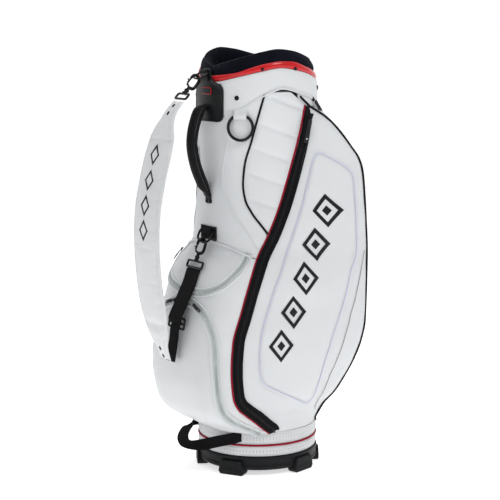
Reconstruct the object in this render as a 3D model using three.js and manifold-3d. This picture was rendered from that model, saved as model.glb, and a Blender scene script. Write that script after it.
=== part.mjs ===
// Golf staff bag. Units are millimetres and +Z is up. The origin is the centre of the base's underside,
// -Y is the front (lift handle, carrying strap, ball pocket) and the apparel pockets are on +X and -X.
// Angles round the bag are in degrees from the front, turning towards +X.
import * as THREE from "three";
import { mergeVertices } from "three/addons/utils/BufferGeometryUtils.js";
import Module from "manifold-3d";

const wasm = await Module();
wasm.setup();

// ---------------------------------------------------------------- driving dimensions
const GAP = 0.4; // clearance between neighbouring pieces
const FLOOR_Z = 11; // underside of the moulded base, above the feet
const BASE_TOP = 43;
const BASE_R = 133;
const BASE_WALL = 4;
const FOOT_R = 137;
const FOOT_ANGLES = [30, 105, 155, -30, -105, -155];
const FOOT_WIDTH = 62;
const FOOT_DEPTH = 24;
const PAD_R = 40; // round pad in the middle of the underside
const BAND_R = 131; // leather bands round the base
const LOWER_BAND_TOP = 67;
const UPPER_BAND_TOP = 98;
const PIPING = 4.4; // width of every piping cord
const SLACK = 1.4; // panels stand this far off the barrel
const POCKET_SLACK = 4; // and pockets this far
const SEAM = 1.2; // between two panels
const YOKE_LOW = 800;
const MIDDLE = 0.25; // the front side panels part this far from the front's centre, in degrees
const BARREL_R = 123;
const BARREL_WALL = 3;
const BARREL_TOP = 846;
const RING_T = 15; // moulded mouth ring
const MOUTH_R = 100; // clear radius inside the collar
const COLLAR_R = 122;
const FRAME_T = 20; // divider frame
const DIVIDER_T = 14; // width of a divider bar
const SHEET_T = 2;
const CROSSBAR_Y = 34; // crossbars stand this far from the centre
const HANDLE_D = 26;
const STRAP_T = 12;
const STRAP_W = 100;
const WEBBING_W = 50;
const WEBBING_T = 3;
const NARROW_WEBBING_W = 34;
const TAPE_W = 22; // black zip tape
const COIL_W = 10; // pale zip strips

// ---------------------------------------------------------------- curves and the bag's outer skin
const RAD = Math.PI / 180;
const lerp = (a, b, t) => a + (b - a) * t;

/** Smooth curve through [x, value] points that never overshoots them. */
function curve(points) {
  const n = points.length;
  const slope = points.slice(1).map((p, i) => (p[1] - points[i][1]) / (p[0] - points[i][0]));
  const tangent = points.map((p, i) => {
    if (i === 0) return slope[0];
    if (i === n - 1) return slope[n - 2];
    const product = slope[i - 1] * slope[i];
    return product <= 0 ? 0 : (2 * product) / (slope[i - 1] + slope[i]);
  });
  return (x) => {
    if (x <= points[0][0]) return points[0][1];
    if (x >= points[n - 1][0]) return points[n - 1][1];
    let i = 0;
    while (x > points[i + 1][0]) i++;
    const h = points[i + 1][0] - points[i][0];
    const t = (x - points[i][0]) / h;
    const [a, b] = [points[i][1], points[i + 1][1]];
    return (2 * t ** 3 - 3 * t * t + 1) * a + (t ** 3 - 2 * t * t + t) * h * tangent[i]
      + (3 * t * t - 2 * t ** 3) * b + (t ** 3 - t * t) * h * tangent[i + 1];
  };
}

// Front half of the bag's section at each height: a rounded box this deep, this wide and this square.
const depthAt = curve([[98, 134], [112, 158], [126, 182], [142, 200], [165, 210], [212, 216], [255, 214],
  [340, 200], [386, 186], [435, 172], [468, 155], [490, 134], [512, 127], [632, 127], [800, BAND_R]]);
const widthAt = curve([[98, 132], [140, 138], [255, 143], [386, 142], [435, 147], [512, 147], [556, 142],
  [632, 134], [800, BAND_R]]);
const squareAt = curve([[98, 2.6], [165, 5], [255, 5.5], [386, 4.8], [468, 3.2], [512, 2.5], [632, 2.1],
  [700, 2]]);
// Apparel pocket: the radius of its back corner at each height.
const PUFF = 9; // how far the padded pocket wall swells
const BACK_PUFF = 2.2; // and its back wall, as a share of that
const CORNER = 124;
const POCKET_BACK = 158;
const cornerAt = curve([[98, 131], [146, 162], [177, 190], [218, 216], [255, 236], [296, 252], [341, 261],
  [486, 264], [571, 260], [628, 256], [665, 252], [690, 244], [720, 222], [749, 198], [780, 165],
  [806, 131]]);
// Taper of the cuff and bands above the panels.
const taperAt = curve([[800, 0], [845, 1], [885, 3.2], [905, 5]]);

// Seam lines: the apparel zip and the quilted panel's front piping, as an angle at each height.
const zipAngle = curve([[99, 66], [110, 60.5], [133, 52.6], [151, 47], [168, 43], [191, 41], [250, 40.2],
  [312, 40.9], [371, 44.8], [430, 49.5], [481, 54.5], [539, 65.3], [608, 77.4], [692, 89.9], [747, 98.2],
  [808, 106]]);
const quiltAngle = curve([[535, 64.5], [554, 58.9], [578, 51.2], [610, 44], [642, 41.9], [683, 43.5],
  [732, 49.7], [783, 55.8], [830, 61.7]]);

// Edges that run round the bag, as a height at each angle from the front.
const cuffLow = curve([[0, 785], [23, 790], [39, 799], [50, 813], [63, 830], [79, 843], [101, 831],
  [139, 810], [180, 808]]);
const redLow = curve([[0, 855], [12, 857], [42, 871], [59, 880], [78, 887], [102, 879], [143, 858],
  [180, 852]]);
const redHigh = curve([[0, 868], [32, 876], [50, 888], [63, 896], [80, 901], [91, 900], [110, 889],
  [143, 872], [180, 866]]);
const rimAt = curve([[0, 889], [24, 901], [44, 912], [62, 921], [78, 926], [97, 922], [124, 909],
  [150, 900], [180, 896]]);
const accessoryTop = curve([[0, 515], [29, 505], [41, 496], [56, 484]]);
const yokeLow = curve([[88, 837], [112, 804], [180, YOKE_LOW]]);

/** Radius where a straight wall between two corners is met at an angle. */
function wallRadius(angle, a, ra, b, rb) {
  const before = Math.sin((angle - a) * RAD);
  const after = Math.sin((b - angle) * RAD);
  return (ra * rb * Math.sin((b - a) * RAD)) / (ra * before + rb * after);
}

function frontRadius(angle, z) {
  const across = Math.abs(Math.sin(angle * RAD)) / widthAt(z);
  const along = Math.abs(Math.cos(angle * RAD)) / depthAt(z);
  const square = squareAt(z);
  return (across ** square + along ** square) ** (-1 / square);
}

/** Radius of the outer skin at an angle round the bag and a height. */
function skinRadius(angle, z) {
  const side = Math.abs(((angle + 540) % 360) - 180);
  const taper = taperAt(z);
  const seam = zipAngle(z);
  const round = side < 90 ? frontRadius(side, z) : lerp(widthAt(z), BAND_R, Math.min(1, (side - 90) / 60));
  if (side <= seam || side >= POCKET_BACK) return round - taper;
  const corner = cornerAt(z);
  const puff = (share) => PUFF * Math.sin(Math.PI * Math.min(1, share)) * Math.min(1, (corner - BAND_R) / 60);
  const wall = wallRadius(side, seam, frontRadius(Math.min(seam, 90), z), CORNER, corner)
    + puff((side - seam) / (CORNER - seam));
  const back = wallRadius(side, CORNER, corner, POCKET_BACK, BAND_R)
    + BACK_PUFF * puff(Math.max(0, (side - CORNER) / (POCKET_BACK - CORNER)));
  const soft = 16; // the larger, the sharper the pocket's corner
  const both = (wall ** -soft + back ** -soft) ** (-1 / soft);
  const reach = side < CORNER - 40 || wall <= 0 || back <= 0 ? wall : both;
  return Math.max(round, Math.min(reach, corner)) - taper;
}

/** Point at an angle, height and radius. */
const polar = (angle, z, radius) =>
  new THREE.Vector3(radius * Math.sin(angle * RAD), -radius * Math.cos(angle * RAD), z);
const skinPoint = (angle, z) => polar(angle, z, skinRadius(angle, z));

function skinNormal(angle, z) {
  const step = 1.5;
  const round = skinPoint(angle + step, z).sub(skinPoint(angle - step, z));
  const rise = skinPoint(angle, z + 2 * step).sub(skinPoint(angle, z - 2 * step));
  return round.cross(rise).normalize();
}
const above = (angle, z, height) => skinPoint(angle, z).addScaledVector(skinNormal(angle, z), height);

// ---------------------------------------------------------------- builders
const bag = new THREE.Group();

function material(color, roughness, metalness = 0) {
  return new THREE.MeshStandardMaterial({ color, roughness, metalness });
}
const LEATHER = () => material(0xeeeff0, 0.5);
const WEBBING = () => material(0x17181a, 0.85);
const PLASTIC = () => material(0x1b1c1e, 0.45);
const METAL = () => material(0x2a2b2e, 0.35, 0.7);
const CRIMSON = () => material(0x8c1024, 0.5);
const CLOTH = () => material(0x14161c, 0.95);

function add(name, geometry, look) {
  const mesh = new THREE.Mesh(geometry, look);
  mesh.name = name;
  bag.add(mesh);
  return mesh;
}

/** Closed body through a row of rings; each ring's first half faces its second half. */
function loft(rings, closed = false) {
  const n = rings[0].length;
  const positions = rings.flatMap((ring) => ring.flatMap((p) => [p.x, p.y, p.z]));
  const index = [];
  const spans = closed ? rings.length : rings.length - 1;
  for (let i = 0; i < spans; i++) {
    const [a, b] = [i * n, ((i + 1) % rings.length) * n];
    for (let j = 0; j < n; j++) {
      const k = (j + 1) % n;
      // The second half is split the other way, so that it follows the first where the body twists.
      if (j >= n / 2) index.push(a + j, a + k, b + j, a + k, b + k, b + j);
      else index.push(a + j, a + k, b + k, a + j, b + k, b + j);
    }
  }
  if (!closed) {
    for (const [start, flip] of [[0, true], [(rings.length - 1) * n, false]]) {
      for (let j = 0; j < n / 2 - 1; j++) {
        const [p, q, r, s] = [j, j + 1, n - 2 - j, n - 1 - j].map((v) => v + start);
        const faces = q === r ? [[p, q, s]] : [[p, q, r], [p, r, s]];
        faces.forEach((f) => index.push(...(flip ? f.reverse() : f)));
      }
    }
  }
  const geometry = new THREE.BufferGeometry();
  geometry.setAttribute("position", new THREE.Float32BufferAttribute(positions, 3));
  geometry.setIndex(index);
  return facingOut(geometry);
}

/** Turns every face over when the body is inside out. */
function facingOut(geometry) {
  const p = geometry.getAttribute("position");
  const index = geometry.getIndex();
  const [a, b, c] = [new THREE.Vector3(), new THREE.Vector3(), new THREE.Vector3()];
  let volume = 0;
  for (let i = 0; i < index.count; i += 3) {
    a.fromBufferAttribute(p, index.getX(i));
    b.fromBufferAttribute(p, index.getX(i + 1));
    c.fromBufferAttribute(p, index.getX(i + 2));
    volume += a.dot(b.cross(c));
  }
  if (volume < 0) {
    for (let i = 0; i < index.count; i += 3) {
      const second = index.getX(i + 1);
      index.setX(i + 1, index.getX(i + 2));
      index.setX(i + 2, second);
    }
  }
  return geometry;
}

const steps = (count) => Array.from({ length: count + 1 }, (_, i) => i / count);

// Heights where neighbouring panels share their rows of points, so that their edges run side by side.
const LEVELS = [108, 121, 135, 150, 168, 195, 245, 300, 330, 352, 368, 379, 385, 390, 402, 407, 411, 419,
  431, 446, 462, 478, 486, 500, 524, 538, 548, 565, 590, 625, 665, 705, 745, 780];

/** Rows of a panel from its foot to its head, each a height at every angle. */
function rowsOf(panel) {
  const spread = steps(8).map((s) => lerp(panel.left(panel.bottom(0)), panel.right(panel.bottom(0)), s));
  const lowest = Math.min(...spread.map(panel.bottom));
  const foot = Math.max(...spread.map(panel.bottom));
  const wide = steps(8).map((s) => lerp(panel.left(panel.top(0)), panel.right(panel.top(0)), s));
  const highest = Math.max(...wide.map(panel.top));
  const head = Math.min(...wide.map(panel.top));
  const levels = LEVELS.filter((z) => z > foot + 3 && z < head - 3);
  if (!levels.length) return steps(2).map((t) => (a) => lerp(panel.bottom(a), panel.top(a), t));
  const [first, last] = [levels[0], levels[levels.length - 1]];
  const into = (n, from, to) => steps(n).slice(0, -1).map((t) => (a) => lerp(from(a), to, t));
  const below = into(Math.max(1, Math.round((first - lowest) / 16)), panel.bottom, first);
  const over = into(Math.max(1, Math.round((highest - last) / 24)), panel.top, last).reverse();
  return [...below, ...levels.map((z) => () => z), ...over];
}

/** Angle at a share s across a panel; a panel with a crease keeps one column on it. */
function acrossAt(panel, s, z) {
  if (!panel.crease) return lerp(panel.left(z), panel.right(z), s);
  const [share, angle] = panel.crease;
  if (s < share) return lerp(panel.left(z), angle, s / share);
  return lerp(angle, panel.right(z), (s - share) / (1 - share));
}

/** Finds the angle and height at a share s across a panel on one of its rows. */
function place(panel, s, row) {
  let angle = acrossAt(panel, s, row(0));
  let z = row(angle);
  for (let i = 0; i < 60; i++) {
    angle = lerp(angle, acrossAt(panel, s, z), 0.7);
    z = row(angle);
  }
  return [angle, z];
}

/** Panel of the bag's skin: a closed body from just off the barrel out to the skin. */
function panelBody(panel, columns, { slack = SLACK, side = 1 } = {}) {
  const across = typeof columns === "number" ? steps(columns) : columns;
  const rings = rowsOf(panel).map((row) => {
    const spots = across.map((s) => place(panel, s, row));
    const outer = spots.map(([a, z]) => skinPoint(a, z));
    const under = spots.map(([a, z]) => polar(a, z, BARREL_R + slack)).reverse();
    return [...outer, ...under];
  });
  rings.flat().forEach((p) => (p.x *= side));
  return loft(rings);
}
const constant = (value) => () => value;

/** Flat strip lying on the skin along a path of [angle, height] points. */
function skinStrip(path, width, low, high, side = 1, shift = 0) {
  const rings = path.map(([angle, z], i) => {
    const before = path[Math.max(0, i - 1)];
    const after = path[Math.min(path.length - 1, i + 1)];
    const along = skinPoint(...after).sub(skinPoint(...before)).normalize();
    const across = along.clone().cross(skinNormal(angle, z)).normalize();
    const round = new THREE.Vector3(Math.cos(angle * RAD), Math.sin(angle * RAD), 0);
    const radius = skinRadius(angle, z);
    const beside = (d) => [angle + (across.dot(round) * d) / radius / RAD, z + across.z * d];
    const [left, right] = [beside(shift - width / 2), beside(shift + width / 2)];
    return [above(...left, high), above(...right, high), above(...right, low), above(...left, low)];
  });
  rings.flat().forEach((p) => (p.x *= side));
  return loft(rings);
}

/** Ring round the whole bag from a [radius, height] profile at each angle. */
function ringBody(profile, columns = 48) {
  const rings = Array.from({ length: columns }, (_, i) => {
    const angle = (i * 360) / columns;
    return profile(Math.min(angle, 360 - angle)).map(([radius, z]) => polar(angle, z, radius));
  });
  return loft(rings, true);
}

function turned(profile, segments = 48) {
  const geometry = new THREE.LatheGeometry(profile.map(([r, z]) => new THREE.Vector2(r, z)), segments);
  geometry.rotateX(Math.PI / 2);
  geometry.deleteAttribute("normal");
  geometry.deleteAttribute("uv");
  return facingOut(mergeVertices(geometry, 1e-4));
}

/** Round bar along points; section turns with the path. */
function bar(points, diameter, { closed = false, sides = 8, smooth = true, count = 24 } = {}) {
  const vectors = points.map((p) => new THREE.Vector3(...p));
  const path = smooth
    ? new THREE.CatmullRomCurve3(vectors, closed, "centripetal").getSpacedPoints(count)
    : vectors;
  if (closed && smooth) path.pop();
  const n = path.length;
  const middle = vectors.reduce((sum, v) => sum.add(v), new THREE.Vector3()).divideScalar(vectors.length);
  const flat = new THREE.Vector3();
  for (let i = 0; i < n; i++) {
    flat.add(path[i].clone().sub(middle).cross(path[(i + 1) % n].clone().sub(middle)));
  }
  const normal = flat.lengthSq() > 1e-6 ? flat.normalize() : new THREE.Vector3(1, 0, 0);
  const rings = path.map((p, i) => {
    const before = closed ? path[(i + n - 1) % n] : path[Math.max(0, i - 1)];
    const after = closed ? path[(i + 1) % n] : path[Math.min(n - 1, i + 1)];
    const along = after.clone().sub(before).normalize();
    const across = along.clone().cross(normal).normalize();
    return Array.from({ length: sides }, (_, k) => {
      const turn = ((k + 0.5) / sides) * 2 * Math.PI;
      return p.clone().addScaledVector(across, (Math.cos(turn) * diameter) / 2)
        .addScaledVector(normal, (Math.sin(turn) * diameter) / 2);
    });
  });
  return loft(rings, closed);
}

/** Band of webbing or padding along points; its width lies along X, or along a direction at each share. */
function band(points, width, thickness, { count = 24, edge = 0, way = () => [1, 0, 0] } = {}) {
  const path = new THREE.CatmullRomCurve3(points.map((p) => new THREE.Vector3(...p)), false, "centripetal");
  const spots = path.getSpacedPoints(count);
  return loft(spots.map((p, i) => {
    const along = spots[Math.min(count, i + 1)].clone().sub(spots[Math.max(0, i - 1)]).normalize();
    const out = new THREE.Vector3(...way(i / count)).cross(along).normalize();
    const across = along.clone().cross(out);
    const w = (typeof width === "function" ? width(i / count) : width) / 2;
    const t = thickness / 2;
    const rounded = [[-w, t - edge], [-w + edge, t], [w - edge, t], [w, t - edge],
      [w, edge - t], [w - edge, -t], [edge - w, -t], [-w, edge - t]];
    const corners = edge > 0 ? rounded : [[-w, t], [w, t], [w, -t], [-w, -t]];
    return corners.map(([x, y]) => p.clone().addScaledVector(across, x).addScaledVector(out, y));
  }));
}

function solidOf(geometry) {
  const plain = new THREE.BufferGeometry();
  plain.setAttribute("position", geometry.getAttribute("position").clone());
  if (geometry.getIndex()) plain.setIndex(geometry.getIndex().clone());
  const merged = mergeVertices(plain, 1e-4);
  return new wasm.Manifold(new wasm.Mesh({
    numProp: 3,
    vertProperties: Float32Array.from(merged.getAttribute("position").array),
    triVerts: Uint32Array.from(merged.getIndex().array),
  }));
}

function geometryOf(solid) {
  const mesh = solid.getMesh();
  const geometry = new THREE.BufferGeometry();
  geometry.setAttribute("position", new THREE.Float32BufferAttribute(mesh.vertProperties, 3));
  geometry.setIndex(new THREE.Uint32BufferAttribute(mesh.triVerts, 1));
  return geometry;
}

/** Cylinder whose axis runs from one point along a direction. */
function pin(from, direction, radius, length, segments = 16) {
  const geometry = new THREE.CylinderGeometry(radius, radius, length, segments);
  const way = new THREE.Vector3(...direction).normalize();
  geometry.applyQuaternion(new THREE.Quaternion().setFromUnitVectors(new THREE.Vector3(0, 1, 0), way));
  const middle = new THREE.Vector3(...from).addScaledVector(way, length / 2);
  geometry.translate(middle.x, middle.y, middle.z);
  return geometry;
}

// ---------------------------------------------------------------- base, barrel and mouth
function addBase() {
  let base = solidOf(turned([[0, FLOOR_Z], [BASE_R - 6, FLOOR_Z], [BASE_R, FLOOR_Z + 6],
    [BASE_R, BASE_TOP], [BARREL_R + GAP, BASE_TOP], [BARREL_R + GAP, FLOOR_Z + BASE_WALL],
    [0, FLOOR_Z + BASE_WALL]]));
  for (const angle of FOOT_ANGLES) {
    const outline = new THREE.Shape();
    const [half, chamfer, height] = [FOOT_WIDTH / 2, 4, FLOOR_Z + 22];
    outline.moveTo(-half + chamfer, 0);
    outline.lineTo(half - chamfer, 0);
    outline.lineTo(half, chamfer * 2);
    outline.lineTo(half - 6, height);
    outline.lineTo(-half + 6, height);
    outline.lineTo(-half, chamfer * 2);
    outline.closePath();
    const foot = new THREE.ExtrudeGeometry(outline, { depth: FOOT_DEPTH, bevelEnabled: false });
    foot.rotateX(Math.PI / 2);
    foot.translate(0, -FOOT_R + FOOT_DEPTH, 0);
    foot.rotateZ(angle * RAD);
    base = base.add(solidOf(foot));
  }
  // An odd number of sides keeps the middle of the pad's face clear of any edge.
  base = base.add(solidOf(pin([0, 0, 0], [0, 0, 1], PAD_R, FLOOR_Z + 1, 33)));
  const room = solidOf(turned([[0, FLOOR_Z + BASE_WALL], [BARREL_R + GAP, FLOOR_Z + BASE_WALL],
    [BARREL_R + GAP, BASE_TOP + 20], [0, BASE_TOP + 20]]));
  add("base_shell", geometryOf(base.subtract(room)), PLASTIC());
  const around = BARREL_R + GAP;
  const ring = (low, high, radius) => turned([[around, low], [radius, low], [radius, high], [around, high],
    [around, low]]);
  add("lower_band", ring(BASE_TOP + GAP, LOWER_BAND_TOP, BAND_R), LEATHER());
  const cord = LOWER_BAND_TOP + GAP;
  add("base_piping", ring(cord, cord + PIPING - 1, BAND_R + 2), CRIMSON());
  add("upper_band", ring(cord + PIPING - 1 + GAP, UPPER_BAND_TOP, BAND_R), LEATHER());
}

function addBarrel() {
  const floor = FLOOR_Z + BASE_WALL + GAP;
  const inside = BARREL_R - BARREL_WALL;
  add("barrel", turned([[inside, floor], [BARREL_R, floor], [BARREL_R, BARREL_TOP], [inside, BARREL_TOP],
    [inside, floor]]), material(0x33363b, 0.8));
  add("barrel_floor", turned([[0, floor], [inside - GAP, floor], [inside - GAP, floor + 5],
    [0, floor + 5]]), material(0x26282c, 0.9));
  const ringLow = BARREL_TOP + GAP;
  add("mouth_ring", turned([[MOUTH_R - 4, ringLow], [COLLAR_R, ringLow], [COLLAR_R, ringLow + RING_T],
    [MOUTH_R - 4, ringLow + RING_T], [MOUTH_R - 4, ringLow]]), PLASTIC());
}

function addDividers() {
  const low = BARREL_TOP + GAP + RING_T + GAP;
  const outer = MOUTH_R - GAP;
  const clear = MOUTH_R - 9;
  const beam = (wide, long, y) => {
    const box = new THREE.BoxGeometry(wide, long, FRAME_T);
    box.translate(0, y, low + FRAME_T / 2);
    return solidOf(box);
  };
  const hoop = solidOf(turned([[clear, low], [outer, low], [outer, low + FRAME_T], [clear, low + FRAME_T],
    [clear, low]]));
  const bars = beam(DIVIDER_T, 2 * outer, 0).add(beam(2 * outer, DIVIDER_T, -CROSSBAR_Y))
    .add(beam(2 * outer, DIVIDER_T, CROSSBAR_Y));
  const round = solidOf(turned([[0, low], [outer, low], [outer, low + FRAME_T], [0, low + FRAME_T]]));
  add("divider_frame", geometryOf(hoop.add(bars.intersect(round))), CLOTH());

  const bottom = FLOOR_Z + BASE_WALL + 2 * GAP + 5;
  const height = BARREL_TOP - bottom;
  const inside = BARREL_R - BARREL_WALL - 1;
  const sheet = (wide, y, alongX) => {
    const box = new THREE.BoxGeometry(alongX ? wide : SHEET_T, alongX ? SHEET_T : wide, height);
    box.translate(0, y, bottom + height / 2);
    return solidOf(box);
  };
  const reach = Math.sqrt(inside * inside - (CROSSBAR_Y + SHEET_T / 2) ** 2);
  const sheets = sheet(2 * inside, 0, false).add(sheet(2 * reach, -CROSSBAR_Y, true))
    .add(sheet(2 * reach, CROSSBAR_Y, true));
  add("divider_sheets", geometryOf(sheets), CLOTH());
}

/** Joins a snap stud to a ring at each place, on the right and on the left. */
function withStuds(solid, front, back, radius) {
  let joined = solid;
  for (const [angle, z] of [front, back]) {
    for (const side of [1, -1]) {
      const from = polar(side * angle, z, skinRadius(angle, z) - 2);
      joined = joined.add(solidOf(pin(from.toArray(), [from.x, from.y, 0], radius, 5.4, 10)));
    }
  }
  return joined;
}

function addMouth() {
  const cuff = solidOf(ringBody((a) => {
    const [low, high] = [cuffLow(a) + GAP, redLow(a) - GAP];
    const inner = BARREL_R + SLACK;
    const middle = lerp(low, high, 0.5);
    return [[skinRadius(0, low) + 0.8, low], [skinRadius(0, middle) + 0.8, middle],
      [skinRadius(0, high) + 0.8, high], [inner, high], [inner, middle], [inner, low]];
  }));
  add("cuff", geometryOf(withStuds(cuff, [36, 824], [136, 841], 5)), LEATHER());
  const redBand = solidOf(ringBody((a) => {
    const [low, high] = [redLow(a), redHigh(a)];
    const inner = COLLAR_R + GAP;
    return [[BAND_R - 3, low], [BAND_R - 4.5, high], [inner, high], [inner, low]];
  }));
  add("red_band", geometryOf(withStuds(redBand, [60, 886], [94, 886], 2.6)), material(0xb01818, 0.25));
  const seat = BARREL_TOP + 2 * GAP + RING_T;
  add("collar_pad", ringBody((a) => {
    const rim = rimAt(a);
    const middle = (MOUTH_R + COLLAR_R) / 2;
    return [[COLLAR_R, seat], [COLLAR_R, rim - 23], [COLLAR_R - 3, rim - 11], [COLLAR_R - 8, rim - 2.5],
      [middle, rim], [MOUTH_R + 4, rim - 3], [MOUTH_R + 0.6, rim - 11], [MOUTH_R, rim - 23], [MOUTH_R, seat],
      [middle, seat]];
  }), CLOTH());
}

// ---------------------------------------------------------------- panels and pockets
const shareOf = (angle, z) => SEAM / 2 / (skinRadius(angle, z) * RAD);
const beside = (edge, way) => (z) => edge(z) + way * shareOf(edge(z), z);
const [zipFront, zipBack] = [beside(zipAngle, -1), beside(zipAngle, 1)];
const [quiltFront, quiltBack] = [beside(quiltAngle, -1), beside(quiltAngle, 1)];
const PANEL_FOOT = UPPER_BAND_TOP + GAP;

// Outline of the arch zip (ball pocket) and of the curved zip (accessory pocket).
const ARCH_TOP = 385;
const SMILE_LOW = 407;
const archAngle = curve([[99, 57], [112, 50], [130, 42], [147, 37.4], [165, 35.1], [203, 33.6], [262, 32.6],
  [307, 31.5], [338, 28.9], [366, 22.3], [379, 14], [385, 7]]);
const smileAngle = curve([[407, 8], [411, 17], [419, 25.5], [431, 32.5], [446, 37.5], [477, 45.4],
  [500, 48]]);
const [archIn, archOut] = [beside(archAngle, -1), beside(archAngle, 1)];
const [smileIn, smileOut] = [beside(smileAngle, -1), beside(smileAngle, 1)];
const folded = (angle) => Math.min(Math.abs(angle), 360 - Math.abs(angle));
const mirrored = (edge) => (z) => -edge(z);

// Columns of the apparel pocket, closer together where its back corner turns.
const CORNER_SHARE = 0.7;
const ROUND_THE_CORNER = [0, 0.16, 0.32, 0.46, 0.58, 0.65, CORNER_SHARE, 0.75, 0.86, 1];

function addPanels() {
  const upperEdge = (z) => Math.min(quiltFront(z), zipFront(z));
  const upper = { left: mirrored(upperEdge), right: upperEdge,
    bottom: (a) => accessoryTop(folded(a)) + SEAM / 2, top: (a) => cuffLow(folded(a)) - SEAM };
  add("front_upper_panel", panelBody(upper, 16), LEATHER());
  const accessory = { left: mirrored(smileIn), right: smileIn, bottom: constant(SMILE_LOW),
    top: (a) => accessoryTop(folded(a)) - SEAM / 2 };
  add("accessory_pocket", panelBody(accessory, 8, { slack: POCKET_SLACK }), LEATHER());
  const ball = { left: mirrored(archIn), right: archIn, bottom: constant(PANEL_FOOT),
    top: constant(ARCH_TOP) };
  add("ball_pocket", panelBody(ball, 12, { slack: POCKET_SLACK }), LEATHER());
  const spine = { left: constant(POCKET_BACK + 0.3), right: constant(360 - POCKET_BACK - 0.3),
    bottom: constant(PANEL_FOOT), top: constant(YOKE_LOW - SEAM) };
  add("back_spine_panel", panelBody(spine, 6), LEATHER());
  const yoke = { left: constant(97.5), right: constant(262.5), bottom: (a) => yokeLow(folded(a)) + SEAM / 2,
    top: (a) => cuffLow(folded(a)) - SEAM };
  add("back_yoke", panelBody(yoke, 22), LEATHER());

  for (const [word, side] of [["right", 1], ["left", -1]]) {
    const quilt = { left: quiltBack, right: zipFront, bottom: constant(548),
      top: (a) => Math.min(cuffLow(a) - SEAM, yokeLow(a) - SEAM / 2) };
    add(`quilted_panel_${word}`, panelBody(quilt, 5, { side }), LEATHER());
    const inner = (z) => {
      if (z <= ARCH_TOP) return archOut(z);
      return z >= SMILE_LOW ? smileOut(z) : MIDDLE;
    };
    const front = { left: inner, right: zipFront, bottom: constant(PANEL_FOOT),
      top: (a) => accessoryTop(a) - SEAM / 2 };
    add(`front_side_panel_${word}`, panelBody(front, 4, { slack: POCKET_SLACK, side }), LEATHER());
    const apparel = { left: zipBack, right: constant(POCKET_BACK - 0.3), bottom: constant(PANEL_FOOT),
      top: (a) => yokeLow(a) - SEAM / 2, crease: [CORNER_SHARE, CORNER] };
    const pocket = panelBody(apparel, ROUND_THE_CORNER, { slack: POCKET_SLACK, side });
    add(`apparel_pocket_${word}`, pocket, LEATHER());
  }
}

// ---------------------------------------------------------------- zips and pipings
/** Path of [angle, height] points up a seam line. */
const seamPath = (edge, low, high, count) =>
  steps(count).map((t) => lerp(low, high, t)).map((z) => [edge(z), z]);
const PROUD = 1; // what lies on the leather stands this far off it

function addSeams() {
  const arch = seamPath(archAngle, PANEL_FOOT + 2, ARCH_TOP - 3, 15);
  const archPath = [...arch, [4, ARCH_TOP + 2], ...arch.map(([a, z]) => [-a, z]).reverse()];
  archPath.splice(arch.length + 1, 0, [-4, ARCH_TOP + 2]);
  add("ball_pocket_zip", skinStrip(archPath, COIL_W, PROUD + 0.4, 3.2), material(0xd9dcdf, 0.5));
  const smile = seamPath(smileAngle, 484, SMILE_LOW + 3, 9);
  const smilePath = [...smile, [5, SMILE_LOW - 1], [-5, SMILE_LOW - 1],
    ...smile.map(([a, z]) => [-a, z]).reverse()];
  add("accessory_pocket_zip", skinStrip(smilePath, COIL_W, PROUD, 3), material(0xd9dcdf, 0.5));
  for (const [word, side] of [["right", 1], ["left", -1]]) {
    const zip = seamPath(zipAngle, PANEL_FOOT + 3, 800, 44);
    const over = PROUD + 1.4; // the pocket's edge is a hollow crease, so its zip stands further off
    const tape = skinStrip(zip, TAPE_W + PIPING, over, over + 1.6, side, TAPE_W / 2);
    add(`apparel_zip_${word}`, tape, WEBBING());
    const corner = seamPath(constant(CORNER), 768, 150, 14);
    const edge = [[96, 828], [104, 817], [112, 806], [118, 795], [122, 783], ...corner, [128, 122], [136, 103]];
    add(`apparel_edge_piping_${word}`, skinStrip(edge, PIPING, over + 0.6, over + 3, side), WEBBING());
  }
}

// ---------------------------------------------------------------- front fittings
/** Plate following the skin between two angles and two heights. */
function skinPlate([left, right], [bottom, top], low, high, columns = 6, rows = 2) {
  const across = steps(columns).map((s) => lerp(left, right, s));
  return loft(steps(rows).map((t) => {
    const z = lerp(bottom, top, t);
    return [...across.map((a) => above(a, z, high)), ...across.map((a) => above(a, z, low)).reverse()];
  }));
}

/** D-shaped ring: its flat bar lies along X through a point and its bow hangs along a direction. */
function dRing([, y, z], [, dy, dz], width, depth, wire) {
  const bow = steps(8).map((t) => Math.PI * t).map((turn) => [
    (-Math.cos(turn) * width) / 2, depth - width * 0.28 + Math.sin(turn) * width * 0.28]);
  const outline = [[-width / 2, 0], ...bow, [width / 2, 0]];
  const points = outline.map(([x, down]) => [x, y + dy * down, z + dz * down]);
  return bar(points, wire, { closed: true, sides: 8, smooth: false });
}

const PLATE = { half: 23, low: 772, high: 858, proud: 1.8, thick: 3.4 };
const PLATE_FACE = BAND_R + PLATE.proud + PLATE.thick;
const TOP_RING = { at: [0, -140, 874], way: [0, -0.87, -0.493], width: 34, depth: 21, wire: 4.5 };
const PATCH = { half: 13, low: 515, high: 545 };
const ANCHOR_RING = { at: [0, -133.5, 534], way: [0, -0.45, -0.893], width: 50, depth: 26, wire: 5 };
const ringEnd = ({ at, way, depth }) => at.map((v, i) => v + way[i] * depth);

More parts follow.
